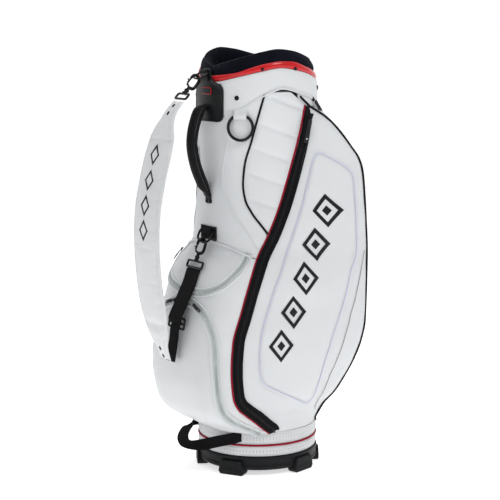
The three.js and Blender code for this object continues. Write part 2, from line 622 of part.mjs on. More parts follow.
function addFront() {
  const outer = PLATE.proud + PLATE.thick;
  const plate = skinPlate([-PLATE.half, PLATE.half], [PLATE.low, PLATE.high], PLATE.proud, outer, 8, 3);
  const tab = skinPlate([-6.5, 6.5], [PLATE.high - 4, 884], PLATE.proud + 1.6, outer + 1.2, 3, 3);
  add("label_plate", geometryOf(solidOf(plate).add(solidOf(tab))), PLASTIC());
  add("tag", skinPlate([-5, 9], [830, 844], outer + GAP, outer + GAP + 1, 3, 1), material(0x23262c, 0.6));
  add("anchor_patch", skinPlate([-PATCH.half, PATCH.half], [PATCH.low, PATCH.high], PROUD, PROUD + 2.6, 4, 2),
    WEBBING());
  for (const [name, ring] of [["top_ring", TOP_RING], ["anchor_ring", ANCHOR_RING]]) {
    add(name, dRing(ring.at, ring.way, ring.width, ring.depth, ring.wire), METAL());
  }
  const top = -PLATE_FACE - GAP;
  const line = [[0, top - 0.8, 800], [0, top - 14, 797], [0, -163, 765], [0, -169, 725], [0, -161, 680],
    [0, -147, 642]];
  add("lift_handle", bar(line, HANDLE_D, { count: 18, sides: 10 }), WEBBING());
  let foot = solidOf(skinPlate([-6.5, 6.5], [588, 638], PROUD, PROUD + 4, 2, 3));
  for (const x of [-8, 8]) foot = foot.add(solidOf(pin([x, -129, 602], [0, -1, 0], 4, 6, 10)));
  add("handle_foot", geometryOf(foot), PLASTIC());
}

// ---------------------------------------------------------------- carrying strap and its hooks
const HOOK = { length: 34, width: 20, lip: 4, wire: 6 };
const UPPER = { from: [0, -194, 827], eye: 42 };
const LOWER = { from: [0, -165, 462], eye: 58 };
const PAD = [[0, -203, 816], [0, -220, 797], [0, -236, 768], [0, -246, 735], [0, -259, 691], [0, -271, 645],
  [0, -280, 601], [0, -285, 544], [0, -282, 462], [0, -269, 368], [0, -251, 295], [0, -240, 264]];
const WIDE_WEBBING = [[0, -170, 450], [0, -180, 424], [0, -193, 398], [0, -202, 375], [0, -208, 338]];
const NARROW_WEBBING = [[0, -210, 326], [0, -216, 300], [0, -223, 274], [0, -227, 258]];
const padWidth = curve([[0, 34], [0.07, 46], [0.16, 92], [0.24, STRAP_W], [0.76, STRAP_W], [0.88, 80],
  [0.95, 46], [1, 36]]);

/** Snap hook in the X = 0 plane, from the strap's end to the ring wire that it holds. */
function addHook(word, { from, eye }, wire) {
  const start = new THREE.Vector3(...from);
  const way = new THREE.Vector3(...wire).sub(start);
  const reach = way.length();
  way.normalize();
  const side = new THREE.Vector3(1, 0, 0).cross(way);
  const at = (u, v, x = 0) =>
    start.clone().addScaledVector(way, u).addScaledVector(side, v).setX(x).toArray();
  const half = HOOK.width / 2;
  const crown = reach + HOOK.wire;
  const neck = crown - HOOK.length;
  const lip = crown - half - HOOK.lip;
  const bow = steps(8).map((t) => Math.PI * t)
    .map((turn) => at(crown - half + half * Math.sin(turn), -half * Math.cos(turn)));
  const line = [at(neck - 3, 0), at(neck + 1, 0), at(neck + 7, -half), ...bow, at(lip, half)];
  add(`${word}_hook`, bar(line, HOOK.wire, { smooth: false }), METAL());
  add(`${word}_hook_gate`, bar([at(lip - GAP, half), at(neck + 7, half)], HOOK.wire - 1.6, { smooth: false }),
    METAL());
  const swivel = solidOf(pin(at(neck - 17, 0), way.toArray(), 6, 13.4, 12));
  const [low, high] = [neck - 30, neck - 16];
  const loop = [at(low, 0, -eye / 2), at(low, 0, eye / 2), at(high, 0, eye / 2), at(high, 0, -eye / 2)];
  const ring = solidOf(bar(loop, 5, { closed: true, smooth: false }));
  add(`${word}_strap_eye`, geometryOf(ring.add(swivel)), METAL());
}

function addStrap() {
  addHook("upper", UPPER, ringEnd(TOP_RING));
  addHook("lower", LOWER, ringEnd(ANCHOR_RING));
  add("shoulder_pad", band(PAD, padWidth, STRAP_T, { count: 30, edge: 4 }), LEATHER());
  add("strap_webbing_wide", band(WIDE_WEBBING, WEBBING_W, WEBBING_T, { count: 10 }), WEBBING());
  add("strap_webbing_narrow", band(NARROW_WEBBING, NARROW_WEBBING_W, WEBBING_T, { count: 8 }), WEBBING());
  const [half, tall] = [WEBBING_W / 2 + 5, 11];
  const [y, z] = [-213.5, 341];
  const frame = [[-half, y, z - tall], [half, y, z - tall], [half, y + 3.6, z + tall], [-half, y + 3.6, z + tall]];
  const glide = solidOf(bar(frame, 5, { closed: true, smooth: false }))
    .add(solidOf(bar([[-half, y + 1.8, z], [half, y + 1.8, z]], 4, { smooth: false })));
  add("tri_glide", geometryOf(glide), PLASTIC());
}

// ---------------------------------------------------------------- towel ring and grab loop
const TOWEL = { angle: 40, z: 784, off: 4.6, radius: 27, bar: 32, wire: 6, tab: 28 };

function addTowelRing() {
  const half = TOWEL.tab / 2 / (BAND_R * RAD);
  const fold = TOWEL.off + TOWEL.wire / 2 + 2 * GAP;
  const profile = [[TOWEL.z + 22, PROUD + 3.2], [TOWEL.z + 12, fold + 2], [TOWEL.z - 6, fold + 2],
    [TOWEL.z - 6, fold], [TOWEL.z + 9, fold], [TOWEL.z + 21, PROUD + 1.2]];
  add("towel_ring_tab", loft(steps(4).map((t) => lerp(TOWEL.angle - half, TOWEL.angle + half, t))
    .map((a) => profile.map(([z, height]) => above(a, z, height)))), LEATHER());
  const y = -(skinRadius(TOWEL.angle, TOWEL.z) + TOWEL.off);
  const start = Math.asin(TOWEL.bar / 2 / TOWEL.radius);
  const points = steps(14).map((t) => lerp(start, 2 * Math.PI - start, t)).map((turn) => {
    const down = TOWEL.radius * (Math.cos(start) - Math.cos(turn));
    return [-TOWEL.radius * Math.sin(turn), y - 0.03 * down, TOWEL.z - down];
  });
  const ring = bar(points, TOWEL.wire, { closed: true, smooth: false });
  ring.rotateZ(TOWEL.angle * RAD);
  add("towel_ring", ring, METAL());
}

function addGrabLoop() {
  const end = polar(43, 83, BAND_R + 4.4);
  const line = [[end.x, end.y, end.z], [70, -135, 76], [38, -172, 70], [0, -187, 66], [-38, -172, 70], [-70, -135, 76],
    [-end.x, end.y, end.z]];
  const way = (t) => [0, 0.75 * Math.sin(Math.PI * t), 1];
  add("grab_loop", band(line, 25, 2.4, { count: 22, way }), WEBBING());
}

// ---------------------------------------------------------------- studs, sliders and pulls
/** Axes on the skin: along a seam (downwards), across it and outwards. */
function seamFrame(angle, z, drop, low, side = 1) {
  const origin = above(angle, z, low);
  const along = above(drop[0], drop[1], low).sub(origin).normalize();
  const out = skinNormal(angle, z).addScaledVector(along, -skinNormal(angle, z).dot(along)).normalize();
  const flip = (v) => v.setX(v.x * side);
  return [origin, along, along.clone().cross(out), out].map(flip);
}

/** Block in a seam frame, from one corner to the other as [along, across, out]. */
function block([origin, along, across, out], from, to, taper = 1) {
  const at = (u, v, w) => origin.clone().addScaledVector(along, u).addScaledVector(across, v).addScaledVector(out, w);
  const [middle, half] = [(from[1] + to[1]) / 2, (to[1] - from[1]) / 2];
  return loft([[from[0], half], [to[0], half * taper]].map(([u, v]) =>
    [at(u, middle - v, to[2]), at(u, middle + v, to[2]), at(u, middle + v, from[2]), at(u, middle - v, from[2])]));
}

function addSlider(name, frame, size, pull) {
  const [long, wide, tall] = size;
  add(`${name}_slider`, block(frame, [0, -wide / 2, 0], [long, wide / 2, tall], 0.7), METAL());
  add(`${name}_pull`, block(frame, [long + GAP, -pull[1] / 2, 2], [long + GAP + pull[0], pull[1] / 2, 2 + pull[2]],
    1.2), WEBBING());
}

const SLIDER_Z = 786; // height of the closed apparel zips' sliders

function addSmallParts() {
  for (const [word, side] of [["right", 1], ["left", -1]]) {
    const tape = (z) => zipAngle(z) + ((PIPING + TAPE_W) / 2 + GAP) / (skinRadius(zipAngle(z), z) * RAD);
    const frame = seamFrame(tape(SLIDER_Z), SLIDER_Z, [tape(700), 700], PROUD + 7.2, side);
    addSlider(`apparel_zip_${word}`, frame, [14, 11, 5], [52, 8, 2.6]);
    const ball = seamFrame(archAngle(382), 382, [archAngle(372), 372], 4.4, side);
    addSlider(`ball_zip_${word}`, ball, [10, 8, 4], [24, 6, 2.2]);
  }
  const z = 478;
  const low = seamFrame(smileAngle(z), z, [smileAngle(450), 450], 4.6, -1);
  addSlider("accessory_zip", low, [10, 8, 4], [24, 6, 2.2]);
}

addBase();
addBarrel();
addDividers();
addMouth();
addPanels();
addSeams();
addFront();
addStrap();
addTowelRing();
addGrabLoop();
addSmallParts();

export default bag;
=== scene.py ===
"""Golf staff bag: the leather, webbing, zips and fittings that show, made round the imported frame.

The frame is in metres. The maker's patterns below are in millimetres, and in degrees round the bag from the
front (-Y), turning towards +X. Every piece is turned into metres where its mesh is made.
"""

import math
from collections import namedtuple

import bmesh
import bpy
import numpy as np
from bpy.props import FloatProperty, FloatVectorProperty, PointerProperty
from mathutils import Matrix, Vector


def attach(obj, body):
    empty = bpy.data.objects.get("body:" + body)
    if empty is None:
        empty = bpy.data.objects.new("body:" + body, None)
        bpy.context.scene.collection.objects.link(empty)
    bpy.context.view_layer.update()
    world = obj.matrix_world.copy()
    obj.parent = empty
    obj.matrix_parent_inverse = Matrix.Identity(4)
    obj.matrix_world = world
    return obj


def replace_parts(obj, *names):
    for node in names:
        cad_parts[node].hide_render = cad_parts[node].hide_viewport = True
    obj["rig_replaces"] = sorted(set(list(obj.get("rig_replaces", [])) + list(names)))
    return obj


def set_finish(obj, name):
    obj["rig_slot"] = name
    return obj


bl_info = {
    "name": "Golf staff bag",
    "version": (1, 0, 0),
    "blender": (4, 5, 0),
    "location": "View3D > Sidebar > Staff bag",
    "description": "Makes the visible pieces of a golf staff bag round its packed frame",
    "category": "Object",
}

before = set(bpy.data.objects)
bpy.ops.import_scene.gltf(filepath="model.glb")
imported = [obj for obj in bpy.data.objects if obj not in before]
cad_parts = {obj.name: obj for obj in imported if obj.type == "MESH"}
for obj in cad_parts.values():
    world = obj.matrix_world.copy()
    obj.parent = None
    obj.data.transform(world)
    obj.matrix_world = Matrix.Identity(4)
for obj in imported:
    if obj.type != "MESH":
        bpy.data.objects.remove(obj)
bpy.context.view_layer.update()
MM = 0.001

# ------------------------------------------------------------------ pattern sizes
BAND_R = 131
BASE_R = 133
BARREL_R = 123
FLOOR_Z = 11
BASE_TOP = 43
LOWER_BAND_TOP = 67
UPPER_BAND_TOP = 98
PIPING = 4.4
TAPE_W = 22
SEAM = 0.5
CORNER = 124
POCKET_BACK = 158
PUFF = 9
BACK_PUFF = 2.2
MIDDLE = 0.12
YOKE_LOW = 800
ARCH_TOP = 385
SMILE_LOW = 407
MOUTH_R = 100
COLLAR_R = 122
COLLAR_SEAT = 861.8
FOOT_ANGLES = (30, 105, 155, -30, -105, -155)
PROUD = 1.0
SLIDER_Z = 786


def lerp(a, b, t):
    return a + (b - a) * t


def curve(*points):
    """Smooth curve through (x, value) points that never overshoots them."""
    xs, ys = np.array(points, float).T
    slopes = np.diff(ys) / np.diff(xs)
    product = slopes[:-1] * slopes[1:]
    total = np.where(product > 0, slopes[:-1] + slopes[1:], 1)
    tangents = np.concatenate([slopes[:1], np.where(product > 0, 2 * product / total, 0), slopes[-1:]])

    def at(x):
        x = np.clip(x, xs[0], xs[-1])
        i = np.clip(np.searchsorted(xs, x, side="right") - 1, 0, len(xs) - 2)
        step = xs[i + 1] - xs[i]
        t = (x - xs[i]) / step
        return ((2 * t**3 - 3 * t * t + 1) * ys[i] + (t**3 - 2 * t * t + t) * step * tangents[i]
                + (3 * t * t - 2 * t**3) * ys[i + 1] + (t**3 - t * t) * step * tangents[i + 1])

    return at


# The front half of the bag's section at each height, and the apparel pocket's back corner.
depth_at = curve((98, 134), (112, 158), (126, 182), (142, 200), (165, 210), (212, 216), (255, 214),
                 (340, 200),
                 (386, 186), (435, 172), (468, 155), (490, 134), (512, 127), (632, 127), (800, BAND_R))
width_at = curve((98, 132), (140, 138), (255, 143), (386, 142), (435, 147), (512, 147), (556, 142),
                 (632, 134),
                 (800, BAND_R))
square_at = curve((98, 2.6), (165, 5), (255, 5.5), (386, 4.8), (468, 3.2), (512, 2.5), (632, 2.1), (700, 2))
corner_at = curve((98, 131), (146, 162), (177, 190), (218, 216), (255, 236), (296, 252), (341, 261),
                  (486, 264),
                  (571, 260), (628, 256), (665, 252), (690, 244), (720, 222), (749, 198), (780, 165),
                  (806, 131))
taper_at = curve((800, 0), (845, 1), (885, 3.2), (905, 5))
# Seams that climb the bag, as an angle at each height.
zip_angle = curve((99, 66), (110, 60.5), (133, 52.6), (151, 47), (168, 43), (191, 41), (250, 40.2),
                  (312, 40.9),
                  (371, 44.8), (430, 49.5), (481, 54.5), (539, 65.3), (608, 77.4), (692, 89.9), (747, 98.2),
                  (808, 106))
quilt_angle = curve((535, 64.5), (554, 58.9), (578, 51.2), (610, 44), (642, 41.9), (683, 43.5), (732, 49.7),
                    (783, 55.8), (830, 61.7))
arch_angle = curve((99, 57), (112, 50), (130, 42), (147, 37.4), (165, 35.1), (203, 33.6), (262, 32.6),
                   (307, 31.5), (338, 28.9), (366, 22.3), (379, 14), (385, 7))
smile_angle = curve((407, 8), (411, 17), (419, 25.5), (431, 32.5), (446, 37.5), (477, 45.4), (500, 48))
# Edges that run round the bag, as a height at each angle.
cuff_low = curve((0, 785), (23, 790), (39, 799), (50, 813), (63, 830), (79, 843), (101, 831), (139, 810),
                 (180, 808))
red_low = curve((0, 855), (12, 857), (42, 871), (59, 880), (78, 887), (102, 879), (143, 858), (180, 852))
red_high = curve((0, 868), (32, 876), (50, 888), (63, 896), (80, 901), (91, 900), (110, 889), (143, 872),
                 (180, 866))
rim_at = curve((0, 889), (24, 901), (44, 912), (62, 921), (78, 926), (97, 922), (124, 909), (150, 900),
               (180, 896))
accessory_top = curve((0, 515), (29, 505), (41, 496), (56, 484))
yoke_low = curve((88, 837), (112, 804), (180, YOKE_LOW))


def folded(angle):
    """The angle from the front, whichever side it is on."""
    return np.abs((np.asarray(angle, float) + 180) % 360 - 180)


def sin(degrees):
    return np.sin(np.radians(degrees))


def cos(degrees):
    return np.cos(np.radians(degrees))


def front_radius(angle, z):
    square = square_at(z)
    total = (np.abs(sin(angle)) / width_at(z)) ** square + (np.abs(cos(angle)) / depth_at(z)) ** square
    return total ** (-1 / square)


def wall_radius(angle, a, ra, b, rb):
    """Radius where a straight wall between two corners is met at an angle."""
    return ra * rb * sin(b - a) / (ra * sin(angle - a) + rb * sin(b - angle))


def skin_radius(angle, z):
    """Radius of the outer skin at an angle round the bag and a height."""
    side, z = np.broadcast_arrays(folded(angle), np.asarray(z, float))
    seam, corner = zip_angle(z), corner_at(z)
    behind = lerp(width_at(z), BAND_R, np.minimum(1, (side - 90) / 60))
    plain = np.where(side < 90, front_radius(side, z), behind)
    swell = PUFF * np.minimum(1, (corner - BAND_R) / 60)
    share = np.clip((side - seam) / (CORNER - seam), 0, 1)
    wall = wall_radius(side, seam, front_radius(np.minimum(seam, 90), z), CORNER, corner)
    wall = wall + swell * np.sin(np.pi * share)
    share = np.clip((side - CORNER) / (POCKET_BACK - CORNER), 0, 1)
    back = wall_radius(side, CORNER, corner, POCKET_BACK, BAND_R) + BACK_PUFF * swell * np.sin(np.pi * share)
    soft = 16
    both = (np.maximum(wall, 1) ** -soft + np.maximum(back, 1) ** -soft) ** (-1 / soft)
    reach = np.where((side < CORNER - 40) | (wall <= 0) | (back <= 0), wall, both)
    pocket = np.maximum(plain, np.minimum(reach, corner))
    return np.where((side <= seam) | (side >= POCKET_BACK), plain, pocket) - taper_at(z)


def polar(angle, z, radius):
    angle, z, radius = np.broadcast_arrays(np.asarray(angle, float), np.asarray(z, float), radius)
    return np.stack([radius * sin(angle), -radius * cos(angle), z], -1)


def unit(v):
    return v / np.maximum(np.linalg.norm(v, axis=-1, keepdims=True), 1e-9)


def skin_normal(angle, z, step=1.5):
    turn = (polar(angle + step, z, skin_radius(angle + step, z))
            - polar(angle - step, z, skin_radius(angle - step, z)))
    rise = (polar(angle, z + 2 * step, skin_radius(angle, z + 2 * step))
            - polar(angle, z - 2 * step, skin_radius(angle, z - 2 * step)))
    return unit(np.cross(turn, rise))


def above(angle, z, height=0.0):
    """Point at a height off the skin."""
    angle, z = np.broadcast_arrays(np.asarray(angle, float), np.asarray(z, float))
    height = np.asarray(height, float)[..., None]
    return polar(angle, z, skin_radius(angle, z)) + skin_normal(angle, z) * height


# ------------------------------------------------------------------ shader maths
class Wire:
    """A socket of a finish. Arithmetic on values adds Math nodes."""

    def __init__(self, finish, socket):
        self.finish, self.socket = finish, socket

    def maths(self, operation, *values):
        return self.finish.node("ShaderNodeMath", {"operation": operation}, dict(enumerate(values)))

    def __add__(self, other):
        return self.maths("ADD", self, other)

    def __sub__(self, other):
        return self.maths("SUBTRACT", self, other)

    def __rsub__(self, other):
        return self.maths("SUBTRACT", other, self)

    def __mul__(self, other):
        return self.maths("MULTIPLY", self, other)

    def __pow__(self, other):
        return self.maths("POWER", self, other)

    def sine(self):
        return self.maths("SINE", self)

    def size(self):
        return self.maths("ABSOLUTE", self)

    def most(self, other):
        return self.maths("MAXIMUM", self, other)

    __radd__ = __add__
    __rmul__ = __mul__


class Finish:
    """A material being made."""

    def __init__(self, name, **constants):
        self.material = bpy.data.materials.new(name)
        self.material.use_nodes = True
        self.tree = self.material.node_tree
        self.shader = self.tree.nodes["Principled BSDF"]
        for socket, value in constants.items():
            self.shader.inputs[socket.replace("_", " ")].default_value = value

    def node(self, kind, settings=(), inputs=(), output=0):
        """Adds a node: its settings first, then the values or links of its sockets."""
        made = self.tree.nodes.new(kind)
        for key, value in dict(settings).items():
            if key == "stops":
                made.color_ramp.elements[0].position, made.color_ramp.elements[1].position = value
            else:
                setattr(made, key, value)
        for key, value in dict(inputs).items():
            self.feed(made.inputs[key], value)
        return Wire(self, made.outputs[output])

    def feed(self, socket, value):
        if isinstance(value, Wire):
            self.tree.links.new(value.socket, socket)
        else:
            socket.default_value = value

    def here(self):
        return self.node("ShaderNodeTexCoord", output="Object")

    def noise(self, scale, detail=3.0, rough=0.5, at=None):
        inputs = {"Vector": at or self.here(), "Scale": scale, "Detail": detail, "Roughness": rough}
        return self.node("ShaderNodeTexNoise", inputs=inputs)

    def cells(self, scale, feature="DISTANCE_TO_EDGE", at=None):
        return self.node("ShaderNodeTexVoronoi", {"feature": feature},
                         {"Vector": at or self.here(), "Scale": scale})

    def ramp(self, value, low, high):
        return self.node("ShaderNodeMapRange", {"clamp": True},
                         {"Value": value, "From Min": low, "From Max": high})

    def mix(self, share, first, second):
        """Mixes two colours."""
        return self.node("ShaderNodeMix", {"data_type": "RGBA"}, {0: share, 6: first, 7: second}, output=2)

    def bump(self, height, distance, strength=1.0):
        inputs = {"Height": height, "Distance": distance, "Strength": strength}
        self.feed(self.shader.inputs["Normal"], self.node("ShaderNodeBump", inputs=inputs))

    def set(self, socket, value):
        self.feed(self.shader.inputs[socket], value)


def tint(colour, factor):
    return tuple(min(1.0, c * factor) for c in colour[:3]) + (1.0,)


def known(make):
    """Makes a finish once, and returns the same material after that."""
    made = {}

    def get(*args):
        key = (make.__name__,
               *[tuple(a) if hasattr(a, "__len__") and not isinstance(a, str) else a for a in args])
        if key not in made:
            made[key] = make(*args)
        return made[key]

    return get


@known
def leather(name, colour, rough, grain, shine=0.4):
    """Coated leather cloth: fine pebbled grain, faint creasing and slow changes of tone."""
    f = Finish(name, Specular_IOR_Level=shine)
    cloud = f.noise(7.0, 4.0, 0.55)
    f.set("Base Color", f.mix(f.ramp(cloud, 0.35, 0.7), tint(colour, 0.965), tint(colour, 1.0)))
    pebbles = f.ramp(f.cells(620.0), 0.0, 0.35)
    pores = f.noise(1500.0, 2.0)
    creases = f.noise(38.0, 5.0, 0.62)
    f.set("Roughness", pores * 0.16 + creases * 0.08 + (rough - 0.12))
    f.bump(pebbles * (0.35 * grain) + pores * (0.25 * grain) + creases * 0.9, 0.0006, 0.55)
    return f.material


@known
def weave(name, colour):
    """Woven webbing: ribs across the band and warp threads along it."""
    f = Finish(name, Specular_IOR_Level=0.12)
    line = f.node("ShaderNodeAttribute", {"attribute_name": "thread"}, output="Vector")
    parts = f.node("ShaderNodeSeparateXYZ", inputs={"Vector": line})
    across = Wire(f, parts.socket.node.outputs["Y"])
    ribs = (parts * (2 * math.pi / 2.4)).sine()
    warp = (across * (2 * math.pi / 1.7)).sine()
    over = (ribs * warp).size()
    fuzz = f.noise(900.0, 3.0)
    f.set("Base Color", f.mix(over * 0.6 + fuzz * 0.4, tint(colour, 0.6), tint(colour, 1.5)))
    f.set("Roughness", 0.92 - over * 0.2)
    f.bump(over + fuzz * 0.3 + ribs * 0.35, 0.0005, 0.8)
    return f.material


@known
def fleece(name, colour):
    """Short-pile cloth."""
    f = Finish(name, Specular_IOR_Level=0.06, Sheen_Weight=0.04, Sheen_Roughness=0.4,
               Sheen_Tint=(0.5, 0.56, 0.75, 1))
    pile = f.noise(520.0, 4.0, 0.7)
    patch = f.noise(16.0, 4.0)
    f.set("Base Color",
          f.mix(f.ramp(pile * 0.5 + patch * 0.5, 0.35, 0.68), tint(colour, 0.6), tint(colour, 1.6)))
    f.set("Roughness", 0.9 + pile * 0.08)
    f.bump(pile + patch * 0.8, 0.0011, 0.8)
    return f.material


@known
def moulded(name, colour, rough, shine=0.16):
    """Moulded plastic with a fine spark-eroded texture and scuffed tone."""
    f = Finish(name, Specular_IOR_Level=shine)
    speck = f.noise(1300.0, 2.0)
    scuff = f.noise(24.0, 6.0, 0.7)
    f.set("Base Color", f.mix(f.ramp(scuff, 0.45, 0.75), tint(colour, 1.0), tint(colour, 1.6)))
    f.set("Roughness", f.ramp(scuff, 0.3, 0.8) * 0.16 + (rough - 0.06))
    f.bump(speck + scuff * 0.2, 0.00025, 0.5)
    return f.material


@known
def metal(name, colour, rough):
    """Plated and lacquered metal, lighter in rubbed patches that are partly wear and partly painted highlight.
    """
    f = Finish(name, Specular_IOR_Level=0.3)
    rub = f.noise(55.0, 5.0, 0.65)
    brush = f.noise(700.0, 2.0)
    # painted highlight: the lighter, more metallic patches stand partly for rubbed plating and partly for
    # highlights
    wear_and_highlight = f.ramp(rub, 0.55, 0.75)
    f.set("Base Color", f.mix(wear_and_highlight * 0.5, tint(colour, 1.0), tint(colour, 2.2)))
    f.set("Metallic", 0.75 + wear_and_highlight * 0.2)
    f.set("Roughness", brush * 0.1 + wear_and_highlight * 0.12 + (rough - 0.05))
    f.bump(brush * 0.5 + rub, 0.0002, 0.35)
    return f.material


@known
def patent(name, colour):
    """Glossy patent trim."""
    f = Finish(name, Specular_IOR_Level=0.25, Coat_Weight=0.25, Coat_Roughness=0.12)
    ripple = f.noise(30.0, 3.0)
    grain = f.noise(800.0, 2.0)
    f.set("Base Color", f.mix(f.ramp(ripple, 0.3, 0.7), tint(colour, 0.9), tint(colour, 1.08)))
    f.set("Roughness", grain * 0.08 + 0.22)
    f.bump(ripple + grain * 0.1, 0.0008, 0.35)
    return f.material


@known
def thread(name, colour):
    """Twisted sewing or embroidery thread."""
    f = Finish(name, Specular_IOR_Level=0.4, Sheen_Weight=0.2)
    twist = f.node("ShaderNodeTexWave", {"bands_direction": "DIAGONAL"}, {"Vector": f.here(), "Scale": 420.0,
                                                                          "Distortion": 1.5})
    f.set("Base Color", f.mix(twist, tint(colour, 0.75), tint(colour, 1.25)))
    f.set("Roughness", twist * 0.15 + 0.5)
    f.bump(twist, 0.0003, 0.7)
    return f.material


def white():
    return leather("white_leather", bpy.context.scene.bag_finish.leather, 0.44, 1.0)


def black_leather():
    return leather("black_leather", bpy.context.scene.bag_finish.webbing, 0.5, 1.6, 0.12)


def webbing():
    return weave("black_webbing", bpy.context.scene.bag_finish.webbing)


def plastic():
    return moulded("black_plastic", bpy.context.scene.bag_finish.plastic, 0.42)


def steel():
    return metal("dark_metal", (0.014, 0.0145, 0.016), 0.3)


def crimson():
    return leather("crimson_cord", bpy.context.scene.bag_finish.piping, 0.5, 0.8, 0.12)


def pale():
    return weave("pale_tape", (0.62, 0.66, 0.67))


def pale_coil():
    return moulded("pale_coil", (0.4, 0.43, 0.43), 0.4)


# ------------------------------------------------------------------ meshes
Run = namedtuple("Run", "at along across out")


def shape(name, points, faces, finish, body="bag", flip=False, closed=True, round_off=True, run=None):
    """A mesh piece from points in millimetres, with its finish, riding on a body."""
    mesh = bpy.data.meshes.new(name)
    mesh.from_pydata((np.asarray(points).reshape(-1, 3) * MM).tolist(), [],
                     [list(map(int, f)) for f in faces])
    if run is not None:
        lines = mesh.attributes.new("thread", "FLOAT_VECTOR", "POINT")
        lines.data.foreach_set("vector", np.asarray(run, np.float32).ravel())
    built = bmesh.new()
    built.from_mesh(mesh)
    if closed:
        bmesh.ops.remove_doubles(built, verts=built.verts, dist=0.001 * MM)
        bmesh.ops.recalc_face_normals(built, faces=built.faces)
    elif flip:
        bmesh.ops.reverse_faces(built, faces=built.faces)
    built.to_mesh(mesh)
    built.free()
    if round_off:
        mesh.shade_smooth()
    mesh.materials.append(finish)
    piece = bpy.data.objects.new(name, mesh)
    bpy.context.scene.collection.objects.link(piece)
    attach(piece, body)
    return piece


def grid_faces(rows, columns, wrap_rows=False, wrap_columns=False):
    r, c = np.meshgrid(np.arange(rows - (not wrap_rows)), np.arange(columns - (not wrap_columns)),
                       indexing="ij")
    after, beside = (r + 1) % rows, (c + 1) % columns
    corners = [r * columns + c, r * columns + beside, after * columns + beside, after * columns + c]
    return np.stack(corners, -1).reshape(-1, 4).tolist()


def subdivide(piece, levels=1):
    smooth = piece.modifiers.new("Subdivision", "SUBSURF")
    smooth.levels = smooth.render_levels = levels
    return piece


def thicken(piece, depth):
    wall = piece.modifiers.new("Thickness", "SOLIDIFY")
    wall.thickness = depth * MM
    wall.offset = -1
    return piece


def soften_edges(piece, width, angle=40, segments=3):
    bevel = piece.modifiers.new("Bevel", "BEVEL")
    bevel.width = width * MM
    bevel.segments = segments
    bevel.limit_method = "ANGLE"
    bevel.angle_limit = math.radians(angle)
    piece.data.set_sharp_from_angle(angle=math.radians(angle))
    return piece


def cad(node, finish, slot, bevel=0.0, angle=35):
    """Keeps a CAD node, with its finish and softened edges."""
    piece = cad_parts[node]
    piece.data.materials.clear()
    piece.data.materials.append(finish)
    piece.data.shade_smooth()
    piece.data.set_sharp_from_angle(angle=math.radians(angle))
    if bevel:
        weld = piece.modifiers.new("Weld", "WELD")
        weld.merge_threshold = 0.01 * MM
        soften_edges(piece, bevel, angle)
    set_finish(piece, slot)
    return piece


def ease(count, pull=0.7):
    """Shares from 0 to 1, closer together at both ends."""
    t = np.linspace(0, 1, count)
    return t - pull * np.sin(2 * np.pi * t) / (2 * np.pi)


def spacing(points, axis):
    """Distance from the first and from the last point along each row or column of a grid."""
    step = np.linalg.norm(np.diff(points, axis=axis), axis=-1)
    start = np.insert(np.cumsum(step, axis), 0, 0, axis)
    return start, np.take(start, [-1], axis) - start


def rolled(distance, radius):
    """How far a sewn edge sinks at a distance from its seam."""
    share = np.clip(1 - distance / radius, 0, 1)
    return -radius * (1 - np.sqrt(1 - share**2))


def resample(points, count=None, step=None, closed=False):
    """Points at even distances along a line, whatever columns they hold besides the first three."""
    points = np.asarray(points, float)
    if closed:
        points = np.vstack([points, points[:1]])
    travel = np.insert(np.cumsum(np.linalg.norm(np.diff(points[:, :3], axis=0), axis=1)), 0, 0)
    count = count or max(3, int(round(travel[-1] / step)) + 1)
    at = np.linspace(0, travel[-1], count + closed)[: count]
    return np.stack([np.interp(at, travel, column) for column in points.T], -1)


def spline(points, count, closed=False):
    """Centripetal Catmull-Rom curve through points, at even distances."""
    p = np.asarray(points, float)
    ends = [p[-1:], p, p[:2]] if closed else [2 * p[:1] - p[1:2], p, 2 * p[-1:] - p[-2:-1]]
    p = np.vstack(ends)
    knots = np.insert(np.cumsum(np.linalg.norm(np.diff(p, axis=0), axis=1) ** 0.5), 0, 0)
    fine = []
    for i in range(1, len(p) - 2):
        t = np.linspace(knots[i], knots[i + 1], 24, endpoint=False)[:, None]
        k = knots[i - 1: i + 3]
        a = [((k[j + 1] - t) * p[i - 1 + j] + (t - k[j]) * p[i + j]) / (k[j + 1] - k[j]) for j in range(3)]
        b = [((k[j + 2] - t) * a[j] + (t - k[j]) * a[j + 1]) / (k[j + 2] - k[j]) for j in range(2)]
        fine.append(((k[2] - t) * b[0] + (t - k[1]) * b[1]) / (k[2] - k[1]))
    fine = np.vstack(fine if closed else [*fine, p[-2:-1]])
    return resample(fine, count, closed=closed)


def tangents(at, closed=False):
    if closed:
        return unit(np.roll(at, -1, 0) - np.roll(at, 1, 0))
    return unit(np.gradient(at, axis=0))


def skin_run(angles, heights, step=3.0, shift=0.0, lift=0.0, side=1, closed=False):
    """Frames along a line sewn on the skin, moved sideways and off it."""
    line = np.column_stack([above(angles, heights), angles, heights])
    line = resample(line, step=step, closed=closed)
    angle, z = line[:, 3], line[:, 4]
    out = skin_normal(angle, z)
    along = tangents(line[:, :3], closed)
    across = unit(np.cross(along, out))
    if callable(shift) or shift:
        amount = shift(z) if callable(shift) else shift
        round_way = np.stack([cos(angle), sin(angle), 0 * angle], -1)
        angle = angle + np.degrees((across * round_way).sum(-1) * amount / skin_radius(angle, z))
        z = z + across[:, 2] * amount
        out = skin_normal(angle, z)
    at = above(angle, z, lift(z) if callable(lift) else lift)
    along = tangents(at, closed)
    across = unit(np.cross(along, out))
    mirror = np.array([side, 1, 1])
    return Run(at * mirror, along * mirror, across * mirror, np.cross(across, along) * mirror)


def free_run(at, way, closed=False):
    """Frames along a free line, its width lying along a direction."""
    along = tangents(at, closed)
    out = unit(np.cross(np.broadcast_to(way, at.shape), along))
    return Run(at, along, np.cross(along, out), out)


